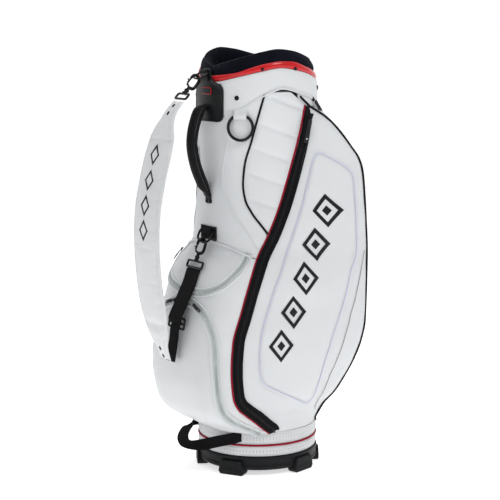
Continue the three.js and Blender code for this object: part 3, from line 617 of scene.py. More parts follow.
def flat_section(width, thick, corner):
    """Outline of a flat band with rounded edges, as (across, out) points."""
    w, t = width / 2 - corner, thick / 2 - corner
    turn = np.radians(np.arange(0, 91, 30))
    quarter = np.stack([np.cos(turn), np.sin(turn)], -1) * corner
    signs = ((1, 1), (-1, 1), (-1, -1), (1, -1))
    parts = [quarter[:: (1 if sx * sy > 0 else -1)] * (sx, sy) + (sx * w, sy * t) for sx, sy in signs]
    return np.vstack(parts)


def round_section(radius, sides=12, flat=1.0):
    turn = np.linspace(0, 2 * np.pi, sides, endpoint=False)
    return np.stack([np.cos(turn), np.sin(turn) * flat], -1) * radius


def sweep(name, run, section, finish, body="bag", closed=False, ends=0.0, scale=None):
    """Closed body along a run; ends is how far a rounded end reaches."""
    at, along, across, out = run
    section = np.asarray(section, float)
    size = np.ones(len(at)) if scale is None else np.asarray(scale, float)
    size = size if size.ndim == 2 else np.stack([size, size], -1)
    if ends:
        turn = np.radians([75, 50, 25])
        first = (at[0] - along[0] * ends * np.sin(turn)[:, None], np.cos(turn)[:, None] * size[0])
        last = (at[-1] + along[-1] * ends * np.sin(turn)[::-1, None], np.cos(turn)[::-1, None] * size[-1])
        at = np.vstack([first[0], at, last[0]])
        size = np.concatenate([first[1], size, last[1]])
        across, out = (np.vstack([v[:1].repeat(3, 0), v, v[-1:].repeat(3, 0)]) for v in (across, out))
    wide, tall = section[:, 0], section[:, 1]
    points = (at[:, None] + across[:, None] * (wide[None, :, None] * size[:, :1, None])
              + out[:, None] * (tall[None, :, None] * size[:, 1:, None]))
    rows, columns = points.shape[:2]
    faces = grid_faces(rows, columns, wrap_rows=closed, wrap_columns=True)
    if not closed:
        faces += [list(range(columns)), list(range((rows - 1) * columns, rows * columns))]
    travel = spacing(at[:, None], 0)[0]
    lines = np.stack(np.broadcast_arrays(travel, wide[None, :], tall[None, :]), -1)
    return shape(name, points, faces, finish, body, run=lines)


def scatter(name, runs, template, finish, body="bag"):
    """One mesh holding a copy of a small closed form at every place of the runs."""
    form, form_faces = template
    points, faces, count = [], [], 0
    for run in runs:
        at, along, across, out = (v[:, None] for v in run)
        placed = at + along * form[None, :, :1] + across * form[None, :, 1:2] + out * form[None, :, 2:]
        for _ in placed:
            faces += [[v + count for v in f] for f in form_faces]
            count += len(form)
        points.append(placed.reshape(-1, 3))
    return shape(name, np.vstack(points), faces, finish, body)


def capsule(length, width, height):
    """Small stitch: two pointed ends and a square waist at each."""
    ends = [(-length / 2, 0, 0), (length / 2, 0, 0)]
    waist = [(x, y * width / 2, z * height / 2) for x in (-length / 3, length / 3)
             for y, z in ((1, 0), (0, 1), (-1, 0), (0, -1))]
    faces = [[2 + i, 2 + (i + 1) % 4, 6 + (i + 1) % 4, 6 + i] for i in range(4)]
    faces += [[0, 2 + (i + 1) % 4, 2 + i] for i in range(4)] + [[1, 6 + i, 6 + (i + 1) % 4] for i in range(4)]
    return np.array(ends + waist, float), faces


def tooth(length, width, height, offset=0.0):
    """Small block with a narrower top."""
    points = [(x * length / 2 * n, offset + y * width / 2 * n, z * height)
              for z, n in ((0, 1), (1, 0.7)) for x, y in ((1, 1), (-1, 1), (-1, -1), (1, -1))]
    faces = [[0, 1, 2, 3], [7, 6, 5, 4]] + [[i, (i + 1) % 4, 4 + (i + 1) % 4, 4 + i] for i in range(4)]
    return np.array(points, float), faces


def every(run, step):
    """The frames of a run at even distances."""
    line = resample(np.hstack(run), step=step)
    return Run(line[:, :3], unit(line[:, 3:6]), unit(line[:, 6:9]), unit(line[:, 9:]))


def shifted(run, out):
    """A run moved along its out direction."""
    return run._replace(at=run.at + run.out * out)


def rounded(width, height, corner, arc=5):
    """Rounded rectangle as (x, y) points."""
    w, h = width / 2 - corner, height / 2 - corner
    points = []
    for i, (sx, sy) in enumerate(((1, 1), (-1, 1), (-1, -1), (1, -1))):
        steps = np.radians(np.linspace(90 * i, 90 * i + 90, arc))
        points.append(np.stack([sx * w + corner * np.cos(steps), sy * h + corner * np.sin(steps)], -1))
    return np.vstack(points)


def patch(name, locate, outline, profile, finish, body="bag"):
    """Flat-lying piece: rings of its outline, each (scale, height), laid by a function of x, y and height."""
    count = len(outline)
    rings = [locate(outline[:, 0] * scale, outline[:, 1] * scale, np.full(count, height)) for scale,
             height in profile]
    points = np.stack(rings)
    faces = grid_faces(len(rings), count, wrap_columns=True)
    faces += [list(range(count)), list(range((len(rings) - 1) * count, len(rings) * count))]
    return shape(name, points, faces, finish, body)


def on_skin(angle, z):
    """Locates points round a place on the skin."""
    degrees = 1 / np.radians(1) / skin_radius(angle, z)

    def locate(x, y, height):
        return above(angle + x * degrees, z + y, height)

    return locate


def on_run(run, index):
    """Locates points round one place of a run: x across it and y along it."""
    at, along, across, out = (v[index] for v in run)

    def locate(x, y, height):
        return at + across * x[:, None] + along * y[:, None] + out * height[:, None]

    return locate


def turned(name, start, way, profile, finish, body="bag", sides=20):
    """Turned piece on an axis, from (distance, radius) points."""
    way = unit(np.array(way, float))
    first = unit(np.cross(way, (1, 0, 0) if abs(way[0]) < 0.9 else (0, 1, 0)))
    second = np.cross(way, first)
    turn = np.linspace(0, 2 * np.pi, sides, endpoint=False)[:, None]
    ring = np.cos(turn) * first + np.sin(turn) * second
    points = np.stack([np.array(start, float) + way * d + ring * max(r, 0.05) for d, r in profile])
    rows = len(profile)
    faces = grid_faces(rows, sides, wrap_columns=True)
    faces += [list(range(sides)), list(range((rows - 1) * sides, rows * sides))]
    return shape(name, points, faces, finish, body)


def mirrored(piece, name):
    """The other side's copy of a piece of the bag."""
    copy = piece.copy()
    copy.data = piece.data.copy()
    copy.name = copy.data.name = name
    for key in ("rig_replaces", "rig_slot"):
        if key in copy:
            del copy[key]
    bpy.context.scene.collection.objects.link(copy)
    built = bmesh.new()
    built.from_mesh(copy.data)
    bmesh.ops.scale(built, vec=(-1, 1, 1), verts=built.verts)
    bmesh.ops.reverse_faces(built, faces=built.faces)
    built.to_mesh(copy.data)
    built.free()
    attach(copy, "bag")
    return copy


def billow(piece, held, pressure=4.0, cap=5.0, slack=0.015):
    """Fills a cover like a cushion in a cloth simulation.

    Held points stay, and no point moves past the cap."""
    group = piece.vertex_groups.new(name="held")
    group.add(np.flatnonzero(held).tolist(), 1.0, "REPLACE")
    cloth = piece.modifiers.new("Cloth", "CLOTH")
    cloth.settings.vertex_group_mass = "held"
    cloth.settings.quality = 4
    cloth.settings.use_pressure = True
    cloth.settings.uniform_pressure_force = pressure
    cloth.settings.shrink_min = -slack
    cloth.settings.effector_weights.gravity = 0
    cloth.settings.bending_stiffness = 0.6
    cloth.collision_settings.use_collision = False
    cloth.point_cache.frame_start, cloth.point_cache.frame_end = 1, 20
    scene = bpy.context.scene
    for step in range(1, 21):
        scene.frame_set(step)
    seen = piece.evaluated_get(bpy.context.evaluated_depsgraph_get())
    count = len(piece.data.vertices)
    after, before = np.empty(count * 3, np.float32), np.empty(count * 3, np.float32)
    seen.data.vertices.foreach_get("co", after)
    piece.data.vertices.foreach_get("co", before)
    move = (after - before).reshape(-1, 3)
    length = np.linalg.norm(move, axis=1, keepdims=True)
    limit = cap * MM
    move *= limit * np.tanh(length / limit) / np.maximum(length, 1e-9)
    piece.modifiers.remove(cloth)
    piece.vertex_groups.remove(group)
    piece.data.vertices.foreach_set("co", (before.reshape(-1, 3) + move).ravel())
    piece.data.update()
    scene.frame_set(1)
    return piece


# ------------------------------------------------------------------ panels of the skin
Panel = namedtuple("Panel", "left right bottom top")


def share_of(angle, z):
    return np.degrees(SEAM / 2 / skin_radius(angle, z))


def beside(edge, way):
    return lambda z: edge(z) + way * share_of(edge(z), z)


def constant(value):
    return lambda x: np.full(np.shape(x), float(value))


def sew_panel(name, panel, columns, rows, finish, lift=None, crease=None, roll=2.6, hold=5.0, puff=None,
              body="bag"):
    """A leather panel on the skin. Its edges roll down into the seams, and its cover can be filled."""
    s, t = ease(columns)[None, :], ease(rows)[:, None]
    across = lambda z: lerp(panel.left(z), panel.right(z), s)
    if crease:
        share, corner = crease
        s = np.concatenate([ease(int(columns * share)) * share,
                            share + ease(columns - int(columns * share))[1:] * (1 - share)])
        s = s[None, :]
        across = lambda z: np.where(s < share, lerp(panel.left(z), corner, s / share),
                                    lerp(corner, panel.right(z), (s - share) / (1 - share)))
    z = lerp(panel.bottom(0 * s), panel.top(0 * s), t) + 0 * s
    angle = across(z)
    for _ in range(50):
        angle = lerp(angle, across(z), 0.7)
        z = lerp(panel.bottom(angle), panel.top(angle), t)
    flat = above(angle, z)
    sides, ends = spacing(flat, 1), spacing(flat, 0)
    edge = np.minimum(np.minimum(*sides), np.minimum(*ends))
    height = rolled(edge, roll)
    if lift:
        height = height + lift(angle, z, edge)
    around = [np.pad(v, 1, mode="edge") for v in (angle, z, height, edge)]
    skirt = np.pad(np.zeros_like(height), 1, constant_values=1)
    points = above(around[0], around[1], around[2] - 3.5 * skirt)
    faces = grid_faces(*points.shape[:2])
    piece = shape(name, points, faces, finish, body, closed=False)
    if puff:
        held = ((around[3] < hold) | (skirt > 0)).ravel()
        billow(piece, held, *puff)
    subdivide(piece)
    return thicken(piece, 1.6)


def stands_for(piece, slot, *nodes):
    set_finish(piece, slot)
    if nodes:
        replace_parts(piece, *nodes)
    return piece


# ------------------------------------------------------------------ base, barrel and mouth
def hoop(name, profile, finish, slot, node=None, count=192):
    """Ring round the bag from a closed (radius, height) profile, each a number or one value an angle."""
    angle = np.linspace(0, 360, count, endpoint=False)
    points = np.stack([polar(angle, z, r) for r, z in profile], 1)
    faces = grid_faces(*points.shape[:2], wrap_rows=True, wrap_columns=True)
    return stands_for(shape(name, points, faces, finish), slot, *([node] if node else []))


def band_profile(low, high, inner, outer, crown=1.0, roll=2.4):
    """Section of a stitched leather band with rolled edges."""
    turn = np.radians([0, 30, 60, 90])
    top = [(outer - roll + roll * c, high - roll + roll * s) for c, s in zip(np.cos(turn), np.sin(turn))]
    bottom = [(outer - roll + roll * c, low + roll - roll * s) for c,
              s in zip(np.cos(turn), np.sin(turn))][::-1]
    middle = [(outer + crown * math.sin(math.pi * t), lerp(low + roll, high - roll, t)) for t in (0.2, 0.4,
                                                                                                  0.6, 0.8)]
    return [(inner, low), *bottom, *middle, *top, (inner, high)]


def ring_run(z, radius, step=3.0, count=None):
    """Frames round the bag at a height and a radius, each a number or one value an angle."""
    angle = np.linspace(0, 360, 241)[:-1]
    at = polar(angle, z(angle) if callable(z) else z, radius(angle) if callable(radius) else radius)
    at = resample(at, step=step, count=count, closed=True)
    out = unit(at * (1, 1, 0))
    along = tangents(at, closed=True)
    return Run(at, along, unit(np.cross(along, out)), out)


def mould_base():
    """Moulded base: ribbed wall, sunk underside and chamfered feet."""
    wall = [(0, FLOOR_Z + 4), (0, FLOOR_Z), (BASE_R - 9, FLOOR_Z), (BASE_R - 4, FLOOR_Z + 1.4),
            (BASE_R, FLOOR_Z + 6),
            (BASE_R, 22), (BASE_R - 1.3, 23), (BASE_R - 1.3, 25), (BASE_R, 26), (BASE_R, 35),
            (BASE_R + 0.9, 36),
            (BASE_R + 0.9, 41.4), (BASE_R, BASE_TOP), (BARREL_R + 1, BASE_TOP), (BARREL_R + 1, FLOOR_Z + 4)]
    finish = moulded("base_plastic", bpy.context.scene.bag_finish.plastic, 0.5, 0.14)
    base = hoop("base_wall", wall, finish, "base_plastic", "base_shell")
    for i, angle in enumerate(FOOT_ANGLES):
        half, top, depth = 31, FLOOR_Z + 22, 24
        outline = [(-half + 5, 0), (half - 5, 0), (half, 7), (half - 2, 17), (half - 7, top),
                   (-half + 7, top),
                   (-half + 2, 17), (-half, 7)]
        rings = [[(x, -137 + d * depth, z) for x, z in outline] for d in (0, 1)]
        c, s = cos(angle), sin(angle)
        points = np.array(rings) @ np.array([[c, s, 0], [-s, c, 0], [0, 0, 1]])
        faces = grid_faces(2, 8, wrap_columns=True) + [list(range(8)), list(range(8, 16))]
        foot = shape(f"base_foot_{i + 1}", points, faces, finish)
        soften_edges(foot, 2.2, 30)
        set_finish(foot, "base_plastic")
        bar = [(-20, 9.5), (20, 9.5), (18.5, 14.5), (-18.5, 14.5)]
        ribs = np.array([[(x, -137 + d, z) for x, z in bar] for d in (-0.6, 3)]) @ np.array(
            [[c, s, 0], [-s, c, 0], [0, 0, 1]])
        rib = shape(f"base_foot_rib_{i + 1}", ribs, grid_faces(2, 4, wrap_columns=True)
                    + [[0, 1, 2, 3], [4, 5, 6, 7]], finish)
        soften_edges(rib, 0.5, 30, 2)
        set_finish(rib, "base_plastic")
    pad = turned("base_pad", (0, 0, 0), (0, 0, 1), [(0, 36), (0.6, 39), (2.5, 40), (FLOOR_Z + 1, 40)], finish,
                 sides=64)
    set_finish(pad, "base_plastic")
    return base


def wrap_base():
    """White leather bands and crimson piping round the base, stitched and pierced."""
    inner = BARREL_R + 1
    hoop("base_band_lower", band_profile(BASE_TOP + 0.4, LOWER_BAND_TOP, inner, BAND_R), white(),
         "white_leather",
         "lower_band")
    hoop("base_band_upper", band_profile(LOWER_BAND_TOP + 3.2, UPPER_BAND_TOP, inner, BAND_R, 1.3), white(),
         "white_leather", "upper_band")
    ring = ring_run(LOWER_BAND_TOP + 1.7, BAND_R + 0.6, 3)
    cord = sweep("base_crimson_piping", ring, round_section(2.1, 10), crimson(), closed=True)
    stands_for(cord, "crimson_cord", "base_piping")
    top = sweep("base_top_binding", ring_run(UPPER_BAND_TOP - 1.6, BAND_R + 0.5, 3), round_section(1.9, 10),
                white(),
                closed=True)
    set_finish(top, "white_leather")
    rows = [ring_run(z, BAND_R + off, 3.6) for z, off in ((LOWER_BAND_TOP - 4.4, 0.9), (BASE_TOP + 5, 0.9),
                                                        (UPPER_BAND_TOP - 6.4, 1.0),
                                                        (LOWER_BAND_TOP + 8.4, 1.0))]
    sewn = scatter("base_stitches", rows, capsule(2.6, 0.8, 0.7), thread("white_thread", (0.62, 0.63, 0.64)))
    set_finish(sewn, "white_leather")
    holes = [ring_run(z, BAND_R + off, 7.5) for z, off in ((LOWER_BAND_TOP - 10, 1.05), (BASE_TOP + 11, 1.05),
                                                         (UPPER_BAND_TOP - 12.5, 1.3),
                                                         (LOWER_BAND_TOP + 14.5, 1.3))]
    pierced = scatter("base_eyelets", holes, capsule(1.7, 1.7, 0.6),
                      thread("eyelet_shade", (0.16, 0.165, 0.17)))
    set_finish(pierced, "white_leather")


def fit_barrel():
    """The plain barrel, its mouth ring and the padded dividers, kept from the frame."""
    cloth = fleece("divider_cloth", (0.022, 0.024, 0.03))
    tube = moulded("barrel_plastic", (0.035, 0.037, 0.041), 0.6)
    cad("barrel", tube, "barrel_plastic")
    cad("barrel_floor", cloth, "divider_cloth")
    cad("mouth_ring", plastic(), "black_plastic", 0.8)
    cad("divider_frame", cloth, "divider_cloth", 3.0)
    cad("divider_sheets", cloth, "divider_cloth", 0.4)


def pad_collar():
    """Fleece collar: a soft roll over the mouth, with creases on its inner side."""
    finish = fleece("collar_cloth", bpy.context.scene.bag_finish.collar)
    angle = np.linspace(0, 360, 180, endpoint=False)
    side = folded(angle)
    rim, low = rim_at(side), red_high(side) - 4
    start, seat = np.full_like(rim, COLLAR_SEAT), np.full_like(rim, COLLAR_SEAT)
    corners = [(COLLAR_R - 1, start), (COLLAR_R + 0.4, low), (COLLAR_R + 0.8, rim - 19),
               (COLLAR_R - 1.6, rim - 9.5),
               (COLLAR_R - 6.4, rim - 2.2), (112, rim + 0.4), (105.6, rim - 1.4), (101.6, rim - 8),
               (MOUTH_R + 0.2, rim - 19), (MOUTH_R + 0.2, lerp(rim, seat, 0.65)), (MOUTH_R + 0.6, seat)]
    grid = np.stack([polar(angle, z, r) for r, z in corners], 1)
    rows = np.stack([spline(line, 26) for line in grid])
    place = np.linspace(0, 1, 26)[None, :]
    inner = np.clip((place - 0.5) * 4, 0, 1) * np.clip((1 - place) * 6, 0, 1)
    waves = (sin(angle * 11) * 0.5 + sin(angle * 17 + 40) * 0.35 + sin(angle * 29 + 80) * 0.25)[:, None]
    outward = unit(rows * (1, 1, 0))
    rows = rows - outward * (inner * (0.5 + 0.9 * waves))[..., None]
    top = np.exp(-((place - 0.43) / 0.02) ** 2)
    rows = rows - np.array([0, 0, 0.9]) * top[..., None]
    faces = grid_faces(180, 26, wrap_rows=True)
    collar = shape("collar", rows, faces, finish, closed=False, flip=True)
    held = np.broadcast_to((place < 0.2) | (place > 0.86) | (np.abs(place - 0.43) < 0.02), (180, 26)).ravel()
    billow(collar, held, 3.0, 1.6, 0.02)
    thicken(subdivide(collar), 2.5)
    stands_for(collar, "collar_cloth", "collar_pad")
    seam = ring_run(lambda a: rim_at(folded(a)) - 0.6, 114.5, 3.8)
    sewn = scatter("collar_stitches", [seam], capsule(2.6, 0.7, 0.6),
                   thread("dark_thread", (0.03, 0.032, 0.045)))
    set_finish(sewn, "collar_cloth")


def cuff_radius(z):
    return skin_radius(0, z) + 0.8


def stud(name, angle, z, radius, rise, side, finish, slot):
    """Snap stud: a domed cap in a rolled rim."""
    base = above(angle, z, 0.4) * (side, 1, 1)
    way = unit(base * (1, 1, 0))
    profile = [(-1, radius), (rise * 0.5, radius), (rise * 0.85, radius * 0.92), (rise, radius * 0.78),
               (rise * 0.8, radius * 0.62), (rise * 0.75, radius * 0.5), (rise * 1.05, radius * 0.36),
               (rise * 1.15, radius * 0.15)]
    piece = turned(name, base, way, profile, finish)
    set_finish(piece, slot)


def sew_cuff():
    """Leather cuff round the mouth with its edge binding, the glossy red band and the snap studs."""
    angle = np.linspace(0, 360, 216, endpoint=False)
    side = folded(angle)
    low, high = cuff_low(side) + 0.4, red_low(side) - 0.3
    t = ease(22)
    z = lerp(low[:, None], high[:, None], t[None, :])
    edge = np.minimum(z - low[:, None], high[:, None] - z)
    wave = 0.35 * sin(angle * 9)[:, None] * sin(180 * t)[None, :]
    radius = cuff_radius(z) + rolled(edge, 2.2) + 0.9 * sin(180 * t)[None, :] + wave
    z, radius = (np.pad(v, ((0, 0), (1, 1)), mode="edge") for v in (z, radius))
    radius[:, [0, -1]] -= 3
    cuff = shape("cuff_leather", polar(angle[:, None], z, radius), grid_faces(216, 24, wrap_rows=True),
                 white(),
                 closed=False, flip=True)
    thicken(subdivide(cuff), 1.6)
    stands_for(cuff, "white_leather", "cuff")
    binding = sweep("cuff_edge_binding", ring_run(lambda a: cuff_low(folded(a)) + 0.4, BAND_R + 0.9, 2.5),
                    round_section(1.9, 10), white(), closed=True)
    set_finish(binding, "white_leather")
    rows = [ring_run(lambda a: cuff_low(folded(a)) + 6, lambda a: cuff_radius(cuff_low(folded(a)) + 6) + 0.7,
                     4),
            ring_run(lambda a: red_low(folded(a)) - 5, lambda a: cuff_radius(red_low(folded(a)) - 5) + 0.6,
                     4)]
    sewn = scatter("cuff_stitches", rows, capsule(2.9, 0.8, 0.7), thread("white_thread", (0.62, 0.63, 0.64)))
    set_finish(sewn, "white_leather")

    low, high = red_low(side), red_high(side)
    share = np.array([0, 0.06, 0.2, 0.4, 0.6, 0.8, 0.94, 1])
    bulge = [-1.8, -0.4, 0.7, 1.25, 1.25, 0.7, -0.4, -1.8]
    profile = [(BAND_R - 2.4 - 1.6 * t + b, lerp(low, high, t)) for t, b in zip(share, bulge)]
    profile += [(COLLAR_R + 0.6, high), (COLLAR_R + 0.6, low)]
    red = patent("red_gloss", bpy.context.scene.bag_finish.band)
    hoop("red_gloss_band", profile, red, "red_gloss", "red_band", 216)
    for word, way in (("right", 1), ("left", -1)):
        for i, (angle, z) in enumerate(((36, 824), (136, 841))):
            stud(f"cuff_stud_{word}_{i + 1}", angle, z, 5.2, 3.4, way, plastic(), "black_plastic")
        for i, (angle, z) in enumerate(((60, 884.5), (94, 885))):
            stud(f"band_stud_{word}_{i + 1}", angle, z, 3.4, 3.2, way, plastic(), "black_plastic")


# ------------------------------------------------------------------ panels
def gentle(angle, z, edge):
    """Slow rise and fall of leather over foam."""
    return np.clip(edge / 25, 0, 1) * (0.55 * sin(z * 2.1 + angle * 3) + 0.35 * sin(z * 5.3 - angle * 4 + 60))


def sew_front():
    """Front panel above the pockets, the panels beside them, the spine and the yoke."""
    front, back = beside(quilt_angle, -1), beside(zip_angle, -1)
    edge = lambda z: np.minimum(front(z), back(z))
    upper = Panel(lambda z: -edge(z), edge, lambda a: accessory_top(folded(a)) + SEAM / 2,
                  lambda a: cuff_low(folded(a)) + 2)
    stands_for(sew_panel("front_upper_leather", upper, 60, 52, white(), gentle), "white_leather",
               "front_upper_panel")
    spine = Panel(constant(POCKET_BACK + 0.15), constant(360 - POCKET_BACK - 0.15),
                  constant(UPPER_BAND_TOP - 0.6),
                  constant(YOKE_LOW - 0.3))
    stands_for(sew_panel("back_spine_leather", spine, 22, 90, white(), gentle), "white_leather",
               "back_spine_panel")
    yoke = Panel(constant(97.5), constant(262.5), lambda a: yoke_low(folded(a)) + 0.3,
                 lambda a: cuff_low(folded(a)) + 2)
    stands_for(sew_panel("back_yoke_leather", yoke, 90, 14, white(), None, roll=1.6), "white_leather",
               "back_yoke")
    inner_low, inner_high = beside(arch_angle, 1), beside(smile_angle, 1)

    def inner(z):
        middle = np.full(np.shape(z), MIDDLE)
        return np.where(z <= ARCH_TOP, inner_low(z), np.where(z >= SMILE_LOW, inner_high(z), middle))

    beside_front = Panel(inner, beside(zip_angle, -1), constant(UPPER_BAND_TOP - 0.6),
                         lambda a: accessory_top(a) - SEAM / 2)
    piece = sew_panel("front_side_leather_right", beside_front, 34, 110, white(), gentle,
                      puff=(2.5, 2.0, 0.01))
    other = mirrored(piece, "front_side_leather_left")
    for made, word in ((piece, "right"), (other, "left")):
        stands_for(made, "white_leather", f"front_side_panel_{word}")


def crumple(angle, z, edge):
    """Soft folds of a pocket's cover, strongest some way in from its seams."""
    near = np.exp(-((edge - 16) / 14) ** 2)
    return near * (0.9 * sin(z * 7.3 + angle * 9) * sin(z * 2.9 - angle * 3 + 20)) + gentle(angle, z, edge)


def sew_pockets():
    """Ball pocket and accessory pocket covers, filled."""
    edge = beside(arch_angle, -1)
    ball = Panel(lambda z: -edge(z), edge, constant(UPPER_BAND_TOP - 0.6), constant(ARCH_TOP - 1.5))
    piece = sew_panel("ball_pocket_leather", ball, 56, 62, white(), crumple, roll=4, hold=8,
                      puff=(4, 4, 0.015))
    stands_for(piece, "white_leather", "ball_pocket")
    edge_in = beside(smile_angle, -1)
    small = Panel(lambda z: -edge_in(z), edge_in, constant(SMILE_LOW + 1.5),
                  lambda a: accessory_top(folded(a)) - SEAM / 2)
    piece = sew_panel("accessory_pocket_leather", small, 48, 30, white(), gentle, roll=3.4, hold=7,
                      puff=(4, 4, 0.015))
    stands_for(piece, "white_leather", "accessory_pocket")


CHANNELS = np.array([545, 600, 656, 711, 768, 832, 880])
CHANNEL_SLOPE = 0.85


def quilting(angle, z, edge):
    """Pillows between sewn channels that slope down towards the back."""
    level = z + CHANNEL_SLOPE * (angle - 60)
    i = np.clip(np.searchsorted(CHANNELS, level) - 1, 0, len(CHANNELS) - 2)
    share = (level - CHANNELS[i]) / (CHANNELS[i + 1] - CHANNELS[i])
    share = np.clip(share, 0, 1)
    near = np.minimum(share, 1 - share) * 55
    depth = bpy.context.scene.bag_finish.quilt_depth / MM
    pillow = 0.8 * depth * (1 - (2 * share - 1) ** 2) ** 0.7
    return np.clip(edge / 14, 0, 1) * (pillow - depth * np.exp(-((near / 2.6) ** 2))) + 0.25 * gentle(angle,
                                                                                                      z, edge)


def quilt_sides():
    """Quilted side panels."""
    quilt = Panel(beside(quilt_angle, 1), beside(zip_angle, -1), constant(538),
                  lambda a: np.minimum(cuff_low(a) + 2, yoke_low(a) - 0.3))
    piece = sew_panel("quilted_leather_right", quilt, 40, 120, white(), quilting, puff=(2.0, 1.4, 0.01),
                      roll=2.2)
    other = mirrored(piece, "quilted_leather_left")
    for made, word in ((piece, "right"), (other, "left")):
        stands_for(made, "white_leather", f"quilted_panel_{word}")


# Outline moulded into the apparel pocket's face, as (angle, height).
FACE = [(106.6, 710), (119.0, 674), (120.0, 655), (119.5, 557), (119.2, 488), (116.3, 454), (113.2, 389),
        (107.9, 322), (104.6, 255), (104.2, 168), (101.6, 155), (74, 192), (59.5, 216), (57, 232),
        (56.4, 290),
        (58.6, 342), (67.3, 423), (80.7, 515), (93.5, 607), (103.2, 700)]


def face_line(count=240):
    """The outline with slightly rounded corners."""
    scale = np.array([4.2, 1.0])
    line = resample(np.column_stack([np.array(FACE) * scale, np.zeros(len(FACE))]), count, closed=True)[:, :2]
    for _ in range(5):
        line = (np.roll(line, 1, 0) + 2 * line + np.roll(line, -1, 0)) / 4
    return line / scale


def raised_face(angle, z, edge):
    """The pocket's face stands a little proud inside its outline, and a sewn line sinks round it."""
    scale = np.array([4.2, 1.0])
    line = face_line(160) * scale
    spot = np.stack([folded(angle), z], -1).reshape(-1, 1, 2) * scale
    start, end = line, np.roll(line, -1, 0)
    run = end - start
    share = np.clip(((spot - start) * run).sum(-1) / (run**2).sum(-1), 0, 1)
    gap = np.linalg.norm(spot - start - share[..., None] * run, axis=-1).min(1)
    y = spot[..., 1]
    crosses = ((start[:, 1] > y) != (end[:, 1] > y)) & (
        spot[..., 0] < start[:, 0] + run[:, 0] * (y - start[:, 1]) / np.where(run[:, 1] == 0, 1e-9,
                                                                              run[:, 1]))
    inside = crosses.sum(1) % 2 == 1
    signed = np.where(inside, gap, -gap).reshape(np.shape(z))
    step = np.clip(signed / 7 + 0.5, 0, 1)
    raised = 2.4 * step * step * (3 - 2 * step) - 1.5 * np.exp(-((signed / 3.4) ** 2))
    return raised + crumple(angle, z, edge) * 0.8


def pad_apparel():
    """Apparel pockets: large filled covers whose faces are moulded, with a sharp piped corner at the back."""
    apparel = Panel(beside(zip_angle, 1), constant(POCKET_BACK - 0.15), constant(UPPER_BAND_TOP - 0.6),
                    lambda a: yoke_low(a) - 0.3)
    piece = sew_panel("apparel_leather_right", apparel, 92, 150, white(), raised_face, crease=(0.72, CORNER),
                      puff=(3.0, 4.0, 0.012), hold=7)
    other = mirrored(piece, "apparel_leather_left")
    for made, word in ((piece, "right"), (other, "left")):
        stands_for(made, "white_leather", f"apparel_pocket_{word}")


# ------------------------------------------------------------------ pipings, seams and zips
def climb(edge, low, high, count=60):
    z = np.linspace(low, high, count)
    return edge(z), z


def over_arch():
    """Arch of the ball pocket's zip, from foot to foot."""
    angle, z = climb(arch_angle, UPPER_BAND_TOP + 1, ARCH_TOP - 1)
    top = np.linspace(7, -7, 9)[1:-1]
    angles = np.concatenate([angle, top, -angle[::-1]])
    return angles, np.concatenate([z, ARCH_TOP + 1.2 - (top / 7) ** 2, z[::-1]])


def under_smile():
    angle, z = climb(smile_angle, 496, SMILE_LOW + 0.5)
    low = np.linspace(8, -8, 9)[1:-1]
    angles = np.concatenate([angle, low, -angle[::-1]])
    return angles, np.concatenate([z, SMILE_LOW - 0.8 + (low / 8) ** 2, z[::-1]])


def lay(name, line, section, finish, slot, node=None, **how):
    """Piping or tape swept along a line on the skin."""
    ends = how.pop("ends", 0.0)
    piece = sweep(name, skin_run(*line, **how), section, finish, ends=ends)
    return stands_for(piece, slot, *([node] if node else []))


